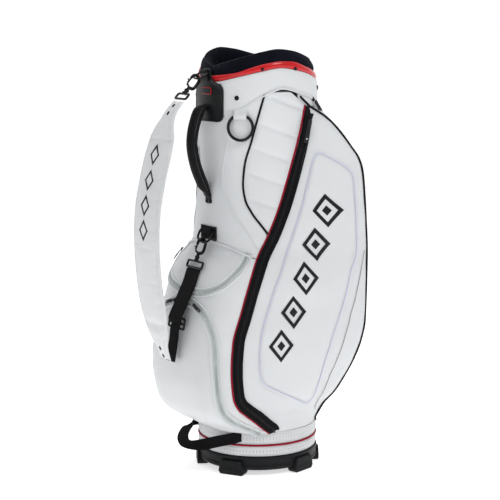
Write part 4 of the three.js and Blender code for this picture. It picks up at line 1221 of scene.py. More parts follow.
def run_pipings():
    """Cords sewn into the seams.

    They are black round the quilted panel and the pocket's corner, and crimson beside the zip."""
    black = leather("black_piping", bpy.context.scene.bag_finish.webbing, 0.5, 0.8, 0.12)
    corner = (np.array([99, 104, 112, 118, 122, *[CORNER] * 40, 128, 136]),
              np.array([826, 817, 806, 795, 783, *np.linspace(768, 150, 40), 122, 98]))
    for word, side in (("right", 1), ("left", -1)):
        lay(f"quilt_piping_{word}", climb(quilt_angle, 537, cuff_low(59) + 6), round_section(2.3, 10), black,
            "black_webbing", side=side, lift=0.6)
        lay(f"crimson_piping_{word}", climb(zip_angle, UPPER_BAND_TOP, 806, 90), round_section(2.3, 10),
            crimson(),
            "crimson_cord", side=side, lift=0.9)
        lay(f"pocket_corner_piping_{word}", corner, round_section(2.5, 10), black, "black_webbing",
            f"apparel_edge_piping_{word}", side=side, lift=1.6)
        gusset = (np.array([122.1, 118.1, 116.4, 114.6, 113.2, 111.7, 112.1, 116]),
                  np.array([495, 387, 359, 316, 268, 222, 162, 136]))
        lay(f"gusset_seam_{word}", gusset, flat_section(1.3, 0.6, 0.28),
            thread("grey_thread", (0.2, 0.205, 0.21)),
            "white_leather", side=side, lift=1.9)
        spine = climb(constant(POCKET_BACK), UPPER_BAND_TOP, YOKE_LOW, 80)
        lay(f"spine_welt_{word}", spine, round_section(1.7, 8), white(), "white_leather", side=side, lift=0.2)
        welt = (np.array([27.4, 25.6, 21.9, 19.6, 20.4, 24.3, 34.6, 45.9, 56.6]),
                np.array([758, 724, 691, 659, 638, 617, 576, 541, 501]))
        line = spline(np.column_stack([*welt, np.zeros(9)]), 60)
        lay(f"front_welt_{word}", (line[:, 0], line[:, 1]), round_section(1.2, 8), white(), "white_leather",
            side=side,
            lift=0.5, ends=1.0)
        face = face_line().T
        run = skin_run(*face, step=2.5, lift=3.1, side=side, closed=True)
        outline = sweep(f"moulded_outline_{word}", run, flat_section(1.9, 1.2, 0.4),
                        leather("lilac_print", (0.56, 0.56, 0.74), 0.45, 0.5), closed=True)
        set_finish(outline, "white_leather")
    for i, (line, inset) in enumerate(((over_arch(), 9.5), (over_arch(), -9.5), (under_smile(), 9.0),
                                       (under_smile(), -9.0))):
        lay(f"zip_welt_{i + 1}", line, round_section(2.1, 10), white(), "white_leather", shift=inset,
            lift=1.0)
    top = np.linspace(-50, 50, 60)
    lay("accessory_top_welt", (top, accessory_top(folded(top))), round_section(2.6, 12), white(),
        "white_leather",
        lift=1.5)


def teeth(name, run, pitch, width, finish, slot):
    """Zip teeth, alternately from each side."""
    line = every(run, pitch)
    half = [Run(*(v[i::2] for v in line)) for i in (0, 1)]
    made = [scatter(f"{name}_{word}", [part], tooth(pitch * 1.15, width, 1.5, way * width * 0.22), finish)
            for part, way, word in zip(half, (1, -1), ("outer", "inner"))]
    for piece in made:
        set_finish(piece, slot)


tape_width = curve((94, 25), (420, 24), (600, 21), (720, 17), (804, 13))
tape_lift = curve((94, -3), (100, -1.5), (112, 2.3), (804, 2.3))


def set_zips():
    """Zip tapes and teeth: pale round the front pockets, black up the sides."""
    for name, line, node in (("ball_zip", over_arch(), "ball_pocket_zip"),
                             ("accessory_zip", under_smile(), "accessory_pocket_zip")):
        lay(f"{name}_tape", line, flat_section(16, 1.2, 0.5), pale(), "pale_zip", node, lift=0.7)
        teeth(f"{name}_teeth", skin_run(*line, lift=1.2), 2.2, 5.0, pale_coil(), "pale_zip")
    for word, side in (("right", 1), ("left", -1)):
        line = climb(zip_angle, UPPER_BAND_TOP - 4, 804, 100)
        middle = lambda z: 0.4 + tape_width(z) / 2
        run = skin_run(*line, side=side, shift=middle, lift=lambda z: tape_lift(z))
        scale = np.stack([tape_width(run.at[:, 2]) / TAPE_W, np.ones(len(run.at))], -1)
        tape = sweep(f"apparel_tape_{word}", run, flat_section(TAPE_W, 1.8, 0.7), webbing(), scale=scale)
        stands_for(tape, "black_webbing", f"apparel_zip_{word}")
        teeth(f"apparel_teeth_{word}",
              skin_run(*line, side=side, shift=middle, lift=lambda z: tape_lift(z) + 0.7),
              2.6, 5.0, moulded("black_coil", (0.008, 0.008, 0.009), 0.4), "black_webbing")
        lay(f"apparel_tape_fold_{word}", line, round_section(1.5, 8), webbing(), "black_webbing", side=side,
            shift=lambda z: tape_width(z) - 0.4, lift=lambda z: tape_lift(z) - 0.4)


def seam_frame(angle, z, low_angle, low_z, lift, side):
    """Frame on a seam: down it, across it and outwards."""
    origin = above(angle, z, lift)
    along = unit(above(low_angle, low_z, lift) - origin)
    out = skin_normal(angle, z)
    out = unit(out - along * (out * along).sum())
    mirror = np.array([side, 1, 1])
    return [v * mirror for v in (origin, along, np.cross(along, out), out)]


def loaf(name, place, start, end, finish, body, slot, nodes, bevel=0.6, taper=1.0):
    """Bevelled block in a frame, between two (along, across, out) corners."""
    origin, along, across, out = place
    corners = []
    for i, u in enumerate((start[0], end[0])):
        widen = taper if i else 1.0
        for v, w in ((start[1], start[2]), (end[1], start[2]), (end[1], end[2]), (start[1], end[2])):
            corners.append(origin + along * u + across * v * widen + out * w)
    faces = grid_faces(2, 4, wrap_columns=True) + [[0, 1, 2, 3], [4, 5, 6, 7]]
    piece = shape(name, corners, faces, finish, body)
    soften_edges(piece, bevel, 30)
    return stands_for(piece, slot, *nodes)


def fit_slider(name, place, size, pull, bodies, node=None):
    """Zip slider with its bridge, and a ribbed pull with a rivet."""
    long, wide, tall = size
    slider, puller = bodies
    loaf(f"{name}_body", place, (0, -wide / 2, 0), (long, wide / 2, tall * 0.55), steel(), slider,
         "dark_metal",
         [f"{node}_slider"] if node else [], 0.8, 0.75)
    loaf(f"{name}_bridge", place, (long * 0.15, -wide * 0.16, tall * 0.5), (long * 0.85, wide * 0.16, tall),
         steel(),
         slider, "dark_metal", [], 0.5)
    reach, breadth, thick = pull
    origin, along, across, out = place
    tab = patch(f"{name}_pull_tab", lambda x, y, h: origin + along * (long + 0.6 + reach / 2 + y)[:, None]
                + across * x[:, None] + out * (2 + h)[:, None],
                rounded(breadth * 1.15, reach, breadth * 0.35),
                [(0.93, 0), (1, thick * 0.25), (1, thick * 0.75), (0.93, thick), (0.5, thick * 1.05)],
                moulded("pull_rubber", (0.016, 0.016, 0.018), 0.5), puller)
    stands_for(tab, "black_webbing", *([f"{node}_pull"] if node else []))
    for i in range(3):
        u = long + reach * (0.42 + 0.11 * i)
        loaf(f"{name}_pull_rib_{i + 1}", place, (u, -breadth * 0.38, 1.6 + thick),
             (u + reach * 0.05, breadth * 0.38,
             2.5 + thick), moulded("pull_rubber", (0.016, 0.016, 0.018), 0.5), puller, "black_webbing", [],
             0.2)
    rivet = origin + along * (long + 0.6 + reach * 0.83) + out * (1.8 + thick)
    dot = turned(f"{name}_rivet", rivet, out,
                 [(0, breadth * 0.2), (0.7, breadth * 0.19), (1.0, breadth * 0.1)],
                 metal("bright_rivet", (0.75, 0.75, 0.76), 0.25), puller, 12)
    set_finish(dot, "dark_metal")


def fit_sliders():
    """Every zip's slider and pull, and the two fixed tabs at the yoke."""
    for word, side in (("right", 1), ("left", -1)):
        turn = np.degrees((PIPING + TAPE_W) / 2 / skin_radius(zip_angle(SLIDER_Z), SLIDER_Z))
        place = seam_frame(zip_angle(SLIDER_Z) + turn, SLIDER_Z, zip_angle(700) + turn, 700, PROUD + 7.2,
                           side)
        fit_slider(f"apparel_zip_{word}", place, (14, 11, 5), (52, 8, 2.6),
                   (f"apparel_slider_{word}", f"apparel_pull_{word}"), f"apparel_zip_{word}")
        place = seam_frame(arch_angle(382), 382, arch_angle(372), 372, 4.4, side)
        fit_slider(f"ball_zip_{word}", place, (10, 8, 4), (24, 6, 2.2),
                   (f"ball_slider_{word}", f"ball_pull_{word}"),
                   f"ball_zip_{word}")
        place = seam_frame(119, 820, 127, 796, 1.2, side)
        fit_slider(f"yoke_tab_{word}", place, (8, 9, 4), (34, 8, 2.6), ("bag", "bag"))
    place = seam_frame(smile_angle(478), 478, smile_angle(450), 450, 4.6, -1)
    fit_slider("accessory_zip", place, (10, 8, 4), (24, 6, 2.2), ("accessory_slider", "accessory_pull"),
               "accessory_zip")


# ------------------------------------------------------------------ plate, tag, patch and rings
PLATE_FACE = BAND_R + 5.2
TOP_RING = ((0, -140, 874), (0, -0.87, -0.493), 34, 21, 4.5)
ANCHOR_RING = ((0, -133.5, 534), (0, -0.45, -0.893), 50, 26, 5)
TOWEL_ANGLE, TOWEL_Z, TOWEL_OFF, TOWEL_R, TOWEL_BAR = 40, 784, 4.6, 27, 32


def even(outline, count=72):
    """An outline with points at even distances, so that it can follow the skin."""
    return resample(np.column_stack([outline, np.zeros(len(outline))]), count, closed=True)[:, :2]


def slab(low, high, roll=0.03, dish=0.0):
    """Profile of a flat-lying piece with a rounded edge, and a border if its middle is dished."""
    rise = high - low
    under = [(0.02, low), (0.6, low), (1 - roll, low)]
    edge = [(1, low + rise * 0.3), (1, low + rise * 0.75), (1 - roll * 0.4, high - rise * 0.08),
            (1 - roll, high)]
    if dish:
        edge += [(0.93, high), (0.915, high - dish)]
    return under + edge + [(s, high - dish) for s in (0.85, 0.6, 0.35, 0.15, 0.02)]


def boxed(name, locate, width, height, finish, slot, step=3.2):
    """Box stitch: a rectangle of stitches."""
    line = even(rounded(width, height, 0.8, arc=2), int(2 * (width + height) / step))
    at = locate(line[:, 0], line[:, 1], np.zeros(len(line)))
    over = locate(line[:, 0], line[:, 1], np.ones(len(line)))
    along = tangents(at)
    out = unit(over - at)
    run = Run(at, along, unit(np.cross(along, out)), out)
    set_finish(scatter(name, [run], capsule(2.3, 0.8, 0.7), finish), slot)


def fix_plate():
    """Name plate left blank, its top tab and screws, and the small tag on it."""
    black = moulded("plate_plastic", bpy.context.scene.bag_finish.plastic, 0.36, 0.2)
    half = np.array([(0, -43), (44, -43), (52, -35), (52, 26), (49, 33), (26, 43), (17, 49), (15, 56),
                     (15, 66), (10, 70)])
    outline = even(np.vstack([half, (half * (-1, 1))[::-1][:-1]]), 120)
    for _ in range(4):
        outline = (np.roll(outline, 1, 0) + 2 * outline + np.roll(outline, -1, 0)) / 4
    plate = patch("name_plate", on_skin(0, 815), outline, slab(1.6, 5.4, 0.02, 0.9), black)
    stands_for(plate, "black_plastic", "label_plate")
    for i, (x, z) in enumerate(((-44, 850), (44, 850), (-44, 780), (44, 780))):
        angle = math.degrees(x / BAND_R)
        place = above(angle, z, 4.4)
        way = skin_normal(angle, z)
        screw = turned(f"plate_screw_{i + 1}", place, way,
                       [(0, 2.8), (0.9, 2.8), (1.3, 2.3), (1.3, 0.9), (0.7, 0.8)],
                       steel(), sides=16)
        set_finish(screw, "dark_metal")
    border = patch("tag_border", on_skin(2, 837), even(rounded(32, 14.4, 3, arc=5), 56), slab(5.2, 6.4, 0.05),
                   patent("red_gloss", bpy.context.scene.bag_finish.band))
    stands_for(border, "black_plastic", "tag")
    face = patch("tag_face", on_skin(2, 837), even(rounded(29.6, 12, 2.2, arc=5), 56), slab(6.0, 6.9, 0.05),
                 black)
    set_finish(face, "black_plastic")


def hoop_of(outline, wire, normal, name, finish, body, sides=14, smooth=3, step=1.4):
    """Bent wire ring along a closed outline."""
    at = resample(np.array(outline, float), step=step, closed=True)
    for _ in range(smooth):
        at = (np.roll(at, 1, 0) + 2 * at + np.roll(at, -1, 0)) / 4
    return sweep(name, free_run(at, np.array(normal, float), closed=True), round_section(wire / 2, sides),
                 finish,
                 body, closed=True)


def d_ring(name, ring, finish, body, node):
    """Ring with a straight bar and a bow."""
    at, way, width, depth, wire = ring
    t = np.linspace(0, math.pi, 25)
    x = np.concatenate([[-width / 2], -np.cos(t) * width / 2, [width / 2]])
    down = np.concatenate([[0], depth - width * 0.28 + np.sin(t) * width * 0.28, [0]])
    points = np.array(at, float) + np.array(way, float) * down[:, None] + np.array([1.0, 0, 0]) * x[:, None]
    normal = np.cross((1, 0, 0), way)
    piece = hoop_of(points, wire, normal, name, finish, body)
    stands_for(piece, "dark_metal", node)


def fix_rings():
    """The two rings that the strap clips to, their holders and the webbing patch behind the lower one."""
    d_ring("top_d_ring", TOP_RING, steel(), "head_ring", "top_ring")
    d_ring("front_d_ring", ANCHOR_RING, steel(), "front_ring", "anchor_ring")
    half = TOP_RING[2] / 2 - 4
    keeper = [(0, -136, 858), (0, -138.5, 869), (0, -141.5, 876.5), (0, -140.2, 880.8), (0, -135.6, 880.2),
              (0, -133.6, 872), (0, -132.4, 860)]
    run = free_run(spline(keeper, 40), np.array([1.0, 0, 0]))
    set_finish(sweep("top_ring_keeper", run, flat_section(half * 2, 1.8, 0.6), black_leather()), "black_webbing")
    cloth = webbing()
    angle = np.linspace(-13, 13, 26)
    across = Run(above(angle, 530, 2.3), tangents(above(angle, 530, 2.3)), np.tile([0, 0, 1.0], (26, 1)),
                 skin_normal(angle, np.full(26, 530.0)))
    stands_for(sweep("anchor_webbing", across, flat_section(30, 2.6, 0.8), cloth), "black_webbing",
               "anchor_patch")
    loop = [(0, -129.4, 524), (0, -131.8, 530), (0, -136.9, 531.2), (0, -138.2, 535), (0, -134.6, 539.4),
            (0, -131.6, 543)]
    run = free_run(spline(loop, 36), np.array([1.0, 0, 0]))
    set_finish(sweep("anchor_ring_loop", run, flat_section(38, 2, 0.6), cloth), "black_webbing")
    grey = thread("grey_thread", (0.2, 0.205, 0.21))
    boxed("anchor_stitches", lambda x, y, h: on_skin(0, 530)(x, y, 3.5 + h), 54, 25, grey, "black_webbing")


# ------------------------------------------------------------------ lift handle
HANDLE_R = 13


def pad_handle():
    """Padded lift handle with its seam, and the foot that two rivets hold."""
    top = -PLATE_FACE - 0.4
    line = [(0, top + 2, 806), (0, top - 6, 801), (0, top - 14, 795), (0, -163, 765), (0, -169, 725),
            (0, -161, 680),
            (0, -146, 643), (0, -135, 622), (0, -131, 611)]
    at = spline(line, 84)
    run = free_run(at, np.array([1.0, 0, 0]))
    t = np.linspace(0, 1, 84)
    near = np.clip(np.minimum(t * 9, (1 - t) * 7), 0, 1)
    near = near * near * (3 - 2 * near)
    size = 0.86 + 0.14 * near
    flat = 0.34 + 0.66 * near
    cloth = black_leather()
    section = round_section(HANDLE_R, 28)
    section[:, 1] *= 0.94
    handle = sweep("lift_handle_grip", run, section, cloth, scale=np.stack([size, flat], -1), ends=2.0)
    ring_share = np.linspace(0, 1, 90)
    held = np.repeat((ring_share < 0.09) | (ring_share > 0.9), 28)
    billow(handle, held, 2.5, 1.0, 0.01)
    subdivide(handle)
    stands_for(handle, "black_webbing", "lift_handle")
    grey = thread("grey_thread", (0.2, 0.205, 0.21))
    edges = []
    for way in (1, -1):
        side = Run(at + run.across * (way * HANDLE_R * size)[:, None] * 0.985, run.along, run.out,
                   run.across * way)
        edges.append(Run(*(v[6:-6] for v in side)))
    for word, edge in zip(("right", "left"), edges):
        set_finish(sweep(f"lift_handle_seam_{word}", edge, round_section(0.9, 8), cloth), "black_webbing")
    rows = []
    for way in (1, -1):
        turn = math.radians(90 - 14)
        at_row = at + run.across * (way * math.sin(turn) * HANDLE_R * size)[:, None] + run.out * (
            math.cos(turn) * 0.94 * HANDLE_R * flat)[:, None] * facing(run)
        rows.append(every(Run(*(v[6:-6] for v in (at_row, run.along, run.out, run.across * way))), 4.2))
    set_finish(scatter("lift_handle_stitches", rows, capsule(2.8, 0.8, 0.9), grey), "black_webbing")
    foot = patch("handle_foot_plate", on_skin(0, 606), even(rounded(21, 24, 5, arc=7), 56),
                 slab(0.8, 3.2, 0.08, 0.5),
                 plastic())
    stands_for(foot, "black_plastic", "handle_foot")
    for word, x in (("right", 8), ("left", -8)):
        rivet = turned(f"handle_rivet_{word}", (x * 0.75, -126, 599), (0, -1, 0),
                       [(0, 4.6), (3.4, 4.6), (4.8, 3.8),
                                                                               (5.6, 2.2), (5.9, 0.6)],
                                                                               steel(), sides=20)
        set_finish(rivet, "dark_metal")


def facing(run):
    """+1 where a run's out direction points away from the bag's axis."""
    return np.sign((run.out * run.at * (1, 1, 0)).sum(-1, keepdims=True))


# ------------------------------------------------------------------ carrying strap
HOOK_LENGTH, HOOK_WIDTH, HOOK_LIP, HOOK_WIRE = 34, 20, 4, 6
STRAP_T = 12
PAD_LINE = [(-203, 816), (-220, 797), (-236, 768), (-246, 735), (-259, 691), (-271, 645), (-280, 601),
            (-285, 544),
            (-282, 462), (-269, 368), (-251, 295), (-240, 264)]
pad_width = curve((0, 34), (0.07, 46), (0.16, 92), (0.24, 100), (0.76, 100), (0.88, 80), (0.95, 46), (1, 36))


def bend_hook(word, start, eye, ring):
    """Snap hook with its gate and spring pin, its swivel and the eye that the strap passes through."""
    ring_at, ring_way, _, depth, _ = ring
    start, end = np.array(start, float), np.array(ring_at, float) + np.array(ring_way) * depth
    reach = np.linalg.norm(end - start)
    way = (end - start) / reach
    side = np.cross((1, 0, 0), way)
    at = lambda u, v, x=0: start + way * u + side * v + np.array([1.0, 0, 0]) * x
    half = HOOK_WIDTH / 2
    crown = reach + HOOK_WIRE
    neck, lip = crown - HOOK_LENGTH, crown - half - HOOK_LIP
    bow = [at(crown - half + half * math.sin(t), -half * math.cos(t)) for t in np.linspace(0, math.pi, 11)]
    line = [at(neck - 3, 0), at(neck + 1, -0.5), at(neck + 5, -half * 0.72), at(neck + 9, -half), *bow,
            at(lip, half)]
    line = spline(line, 56)
    t = np.linspace(0, 1, 56)
    size = 1 + 0.18 * np.exp(-((t - 0.12) / 0.1) ** 2) - 0.16 * np.clip((t - 0.9) * 10, 0, 1)
    hook = sweep(f"{word}_snap_hook", free_run(line, np.array([1.0, 0, 0])),
                 round_section(HOOK_WIRE * 0.56, 16), steel(),
                 "strap", ends=2.0, scale=size)
    stands_for(hook, "dark_metal", f"{word}_hook")
    gate = turned(f"{word}_gate", at(neck + 7, half), at(lip, half) - at(neck + 7, half),
                  [(0, 1.2), (0.5, 2.1), (lip - neck - 9.4, 2.1), (lip - neck - 8.2, 1.5)], steel(),
                  f"{word}_gate", 16)
    stands_for(gate, "dark_metal", f"{word}_hook_gate")
    neck_block = [at(neck + 2, half * 0.0), at(neck + 5.5, half * 0.92)]
    arm = sweep(f"{word}_gate_arm", free_run(spline(neck_block, 8), np.array([1.0, 0, 0])),
                round_section(2.3, 12), steel(),
                "strap", ends=1.4)
    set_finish(arm, "dark_metal")
    thumb = turned(f"{word}_gate_thumb", at((lip + neck + 7) / 2, half + 1.5), side,
                   [(0, 1.3), (2.2, 1.3), (3.0, 1.9),
                                                                                   (3.6, 1.5)], steel(),
                   f"{word}_gate", 14)
    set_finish(thumb, "dark_metal")
    profile = [(0, 3.2), (0.6, 5.4), (1.6, 6), (4, 6), (4.6, 5), (5.6, 4.4), (8, 4.4), (9, 5.2), (9.8, 5.6),
               (12, 5.4),
               (13.4, 4)]
    swivel = turned(f"{word}_swivel", at(neck - 17, 0), way, profile, steel(), "strap", 24)
    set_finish(swivel, "dark_metal")
    low, high = neck - 30, neck - 16
    loop = [at(low, 0, -eye / 2), at(low, 0, eye / 2), at(high, 0, eye / 2), at(high, 0, -eye / 2)]
    ring_piece = hoop_of(loop, 5, side, f"{word}_strap_loop", steel(), "strap", smooth=5)
    stands_for(ring_piece, "dark_metal", f"{word}_strap_eye")


def fit_hooks():
    """Both snap hooks of the strap."""
    bend_hook("upper", (0, -194, 827), 42, TOP_RING)
    bend_hook("lower", (0, -165, 462), 58, ANCHOR_RING)


def strap_line(count):
    """Middle line of the shoulder pad, with its frames."""
    return free_run(spline([(0, y, z) for y, z in PAD_LINE], count), np.array([1.0, 0, 0]))


def cross_seams(z):
    """How much a sewn line across the pad pulls it in at a height."""
    return sum(np.exp(-((z - seam) / 3.2) ** 2) for seam in (735, 345))


def pad_strap():
    """Shoulder pad: two covers sewn at the edge over foam, filled, with its cross seams and bar tacks."""
    rows, half = 120, 15
    run = strap_line(rows)
    if run.out[0] @ run.at[0] < 0:
        run = run._replace(out=-run.out, across=-run.across)
    width = pad_width(np.linspace(0, 1, rows))
    u = np.sin(np.linspace(-np.pi / 2, np.pi / 2, half))
    seams = cross_seams(run.at[:, 2])
    ends = np.clip(np.minimum(np.arange(rows), np.arange(rows)[::-1]) / 9, 0, 1)
    thick = STRAP_T / 2 * (0.35 + 0.65 * ends) * (1 - 0.62 * seams)
    lens = 1.2 + (thick[:, None] - 1.2) * (1 - np.abs(u[None, :]) ** 3.2) ** 0.75
    x = u[None, :] * width[:, None] / 2
    top = run.at[:, None] + run.across[:, None] * x[..., None] + run.out[:, None] * lens[..., None]
    low = run.at[:, None] + run.across[:, None] * x[..., None] - run.out[:, None] * (lens * 0.8)[..., None]
    points = np.concatenate([top, low[:, ::-1]], 1)
    faces = grid_faces(rows, 2 * half, wrap_columns=True)
    faces += [list(range(2 * half)), list(range((rows - 1) * 2 * half, rows * 2 * half))]
    pad = shape("shoulder_pad_leather", points, faces, white(), "strap")
    column = np.arange(2 * half) % half
    rim = np.minimum(column, half - 1 - column) < 2
    row = np.arange(rows)
    near_end = (row < 12) | (row > rows - 13)
    held = rim[None, :] | (seams > 0.3)[:, None] | near_end[:, None]
    billow(pad, np.broadcast_to(held, (rows, 2 * half)).ravel(), 4.0, 2.5, 0.012)
    subdivide(pad)
    stands_for(pad, "white_leather", "shoulder_pad")
    sewn, tacks = [], []
    white_thread = thread("white_thread", (0.62, 0.63, 0.64))
    for word, way in (("right", 1), ("left", -1)):
        line = run.at + run.across * (way * width / 2)[:, None]
        edge = Run(line, tangents(line), run.out, run.across * way)
        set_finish(sweep(f"strap_edge_piping_{word}", edge, round_section(1.6, 10), white(), "strap", ends=1.2),
                "white_leather")
        inset = width / 2 - 6.5
        level = 1.2 + (thick - 1.2) * (1 - (inset / (width / 2)) ** 3.2) ** 0.75
        line = run.at + run.across * (way * inset)[:, None] + run.out * (level + 0.25)[:, None]
        sewn.append(every(Run(line, tangents(line), run.across, run.out), 4.2))
    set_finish(scatter("strap_edge_stitches", sewn, capsule(2.9, 0.8, 0.8), white_thread, "strap"),
            "white_leather")
    for z in (735, 345):
        index = int(np.argmin(np.abs(run.at[:, 2] - z)))
        at, along, across, out = (v[index] for v in run)
        x = np.linspace(-0.42, 0.42, 22)[:, None] * width[index]
        line = at + across * x + out * (thick[index] + 0.3)
        tacks.append(Run(line, np.tile(across, (22, 1)), np.tile(along, (22, 1)), np.tile(out, (22, 1))))
    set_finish(scatter("strap_cross_stitches", tacks, capsule(2.9, 0.8, 0.8), white_thread, "strap"),
            "white_leather")
    ink = moulded("black_print", (0.008, 0.008, 0.009), 0.5)
    for i, z in enumerate((804, 789, 290, 273)):
        index = int(np.argmin(np.abs(run.at[:, 2] - z)))
        slot = patch(f"strap_slot_{i + 1}", on_run(shifted(run, out=float(lens[index].max()) - 0.4), index),
                     rounded(6, 9.5, 2.9, arc=6), [(1, 0), (1, 1.0), (0.92, 1.4), (0.5, 1.4)], ink, "strap")
        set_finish(slot, "white_leather")


def lay_webbing():
    """Black webbing below the pad: a wide length above the slide and a narrow one below it."""
    cloth = webbing()
    wide = [(-167, 454), (-170, 449), (-180, 424), (-193, 398), (-204, 374), (-213, 358), (-216.8, 348),
            (-213.5, 339)]
    narrow = [(-211.5, 343), (-215.5, 335), (-218, 327), (-219.5, 310), (-222, 290), (-226, 271), (-229, 258)]
    for name, line, width, count in (("strap_webbing_upper", wide, 50, 60),
                                     ("strap_webbing_lower", narrow, 34, 40)):
        at = spline([(0, y, z) for y, z in line], count)
        sag = 0.7 * np.sin(np.linspace(0, 7, count))
        at[:, 1] += sag
        band = sweep(name, free_run(at, np.array([1.0, 0, 0])), flat_section(width, 2.8, 0.9), cloth, "strap")
        node = "strap_webbing_wide" if width == 50 else "strap_webbing_narrow"
        stands_for(band, "black_webbing", node)


def mould_slide():
    """Three-bar slide on the webbing."""
    half, tall, y, z = 30, 11, -213.5, 341
    frame_line = [(-half, y, z - tall), (half, y, z - tall), (half, y + 3.6, z + tall),
                  (-half, y + 3.6, z + tall)]
    normal = np.cross((1, 0, 0), (0, 3.6, 2 * tall))
    slide = hoop_of(frame_line, 5, normal, "webbing_slide", plastic(), "glide", smooth=4)
    stands_for(slide, "black_plastic", "tri_glide")
    bar_at = np.column_stack([np.linspace(-half, half, 20), np.full(20, y + 1.8), np.full(20, float(z))])
    bar = sweep("webbing_slide_bar", free_run(bar_at, normal / np.linalg.norm(normal)), round_section(2, 12),
                plastic(),
                "glide")
    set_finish(bar, "black_plastic")


# ------------------------------------------------------------------ towel ring and grab loop
def hang_towel_ring():
    """Towel ring on its folded leather tab."""
    start = math.asin(TOWEL_BAR / 2 / TOWEL_R)
    turn = np.linspace(start, 2 * math.pi - start, 40)
    down = TOWEL_R * (math.cos(start) - np.cos(turn))
    y = -(skin_radius(TOWEL_ANGLE, TOWEL_Z) + TOWEL_OFF) - 0.03 * down
    c, s = cos(TOWEL_ANGLE), sin(TOWEL_ANGLE)
    rotate = np.array([[c, s, 0], [-s, c, 0], [0, 0, 1]])
    points = np.stack([-TOWEL_R * np.sin(turn), y, TOWEL_Z - down], -1) @ rotate
    ring = hoop_of(points, 6.4, np.array([0, -1.0, 0.03]) @ rotate, "towel_d_ring",
                   moulded("ring_plastic", (0.007, 0.0075, 0.0085), 0.35), "side_ring", smooth=1)
    stands_for(ring, "dark_metal", "towel_ring")
    fold = [(806, -0.4), (800, 0.8), (793, 5.6), (787, 9.2), (781.5, 8.6), (779, 4.6), (780.6, 1.8),
            (786, 0.7),
            (797, 0.2), (806, -0.6)]
    at = spline([above(TOWEL_ANGLE, z, lift) for z, lift in fold], 60)
    across = np.array([cos(TOWEL_ANGLE), sin(TOWEL_ANGLE), 0.0])
    tab = sweep("towel_ring_leather", free_run(at, across), flat_section(28, 1.5, 0.5), white())
    stands_for(tab, "white_leather", "towel_ring_tab")


def sew_grab_loop():
    """Webbing loop across the foot of the bag."""
    end = polar(40, 90, 131)
    line = [end, polar(36, 87, 139), (60, -146, 79), (34, -174, 70), (-4, -187, 66), (-42, -172, 72),
            (-72, -140, 82), polar(-38, 90, 139), end * (-1, 1, 1)]
    at = spline(line, 110)
    t = np.linspace(0, 1, 110)
    turned_flat = np.clip((t - 0.3) * 3.5, 0, 1) * np.clip((1 - t) * 6, 0, 1)
    way = np.stack([0 * t, 0.3 * np.sin(np.pi * t) + 1.5 * turned_flat, 1 - 0.55 * turned_flat], -1)
    loop = sweep("grab_loop_webbing", free_run(at, unit(way)), flat_section(25, 2.4, 0.8), webbing())
    stands_for(loop, "black_webbing", "grab_loop")


# ------------------------------------------------------------------ plain printed motif
def lozenge(name, locate, width, height, stroke, finish, body="bag"):
    """Flat diamond; with a stroke it is an outline."""
    diamond = even(np.array([(width / 2, 0), (0, height / 2), (-width / 2, 0), (0, -height / 2)]), 48)
    if not stroke:
        return patch(name, locate, diamond, [(0.03, 0), (0.6, 0), (1, 0), (1, 0.4), (0.97, 0.6), (0.6, 0.6),
                                             (0.03, 0.6)], finish, body)
    apothem = width * height / 2 / math.hypot(width, height)
    inner = 1 - stroke / apothem
    rings = [locate(diamond[:, 0] * s, diamond[:, 1] * s, np.full(48, h))
             for s, h in ((1, 0), (1, 0.5), (0.985, 0.7), (inner + 0.015, 0.7), (inner, 0.5), (inner, 0))]
    return shape(name, np.stack(rings), grid_faces(6, 48, wrap_rows=True, wrap_columns=True), finish, body)


def print_motif():
    """Chain of diamonds on the apparel pockets and down the strap, standing in for the maker's pattern."""
    ink = moulded("black_print", (0.012, 0.012, 0.013), 0.4)
    for word, side in (("right", 1), ("left", -1)):
        for i, (angle, z) in enumerate(((71.5, 300), (80.5, 371), (89.5, 442), (98.5, 513), (106.5, 584))):
            degrees = 1 / math.radians(1) / skin_radius(angle, z)
            base = lambda x, y, h, a=angle, b=z, d=degrees: above(a + x * d, b + y,
                                                                  h + 2.6) * np.array([side, 1, 1])
            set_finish(lozenge(f"motif_outline_{word}_{i + 1}", base, 56, 72, 7, ink), "white_leather")
            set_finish(lozenge(f"motif_centre_{word}_{i + 1}", base, 18, 22, 0, ink), "white_leather")
    run = strap_line(400)
    if run.out[0] @ run.at[0] < 0:
        run = run._replace(out=-run.out, across=-run.across)
    for i, z in enumerate((704, 652, 600, 548)):
        index = int(np.argmin(np.abs(run.at[:, 2] - z)))
        base = on_run(shifted(run, out=STRAP_T / 2 + 1.9), index)
        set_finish(lozenge(f"motif_strap_{i + 1}", base, 34, 46, 4.6, ink, "strap"), "white_leather")


# ------------------------------------------------------------------ stage
def light_world():
    """White studio: bright behind the bag and dimmer towards its front."""
    world = bpy.data.worlds.new("studio")
    world.use_nodes = True
    tree = world.node_tree
    place = tree.nodes.new("ShaderNodeTexCoord")
    facing_back = tree.nodes.new("ShaderNodeVectorMath")
    facing_back.operation = "DOT_PRODUCT"
    facing_back.inputs[1].default_value = (-0.82, 0.57, 0)
    share = tree.nodes.new("ShaderNodeMapRange")
    share.inputs["From Min"].default_value, share.inputs["From Max"].default_value = 0.0, 0.75
    share.inputs["To Min"].default_value, share.inputs["To Max"].default_value = 0.24, 1.02
    background = tree.nodes["Background"]
    tree.links.new(place.outputs["Generated"], facing_back.inputs[0])
    tree.links.new(facing_back.outputs["Value"], share.inputs["Value"])
    tree.links.new(share.outputs["Result"], background.inputs["Strength"])
    background.inputs["Color"].default_value = (1, 1, 1, 1)
    return world


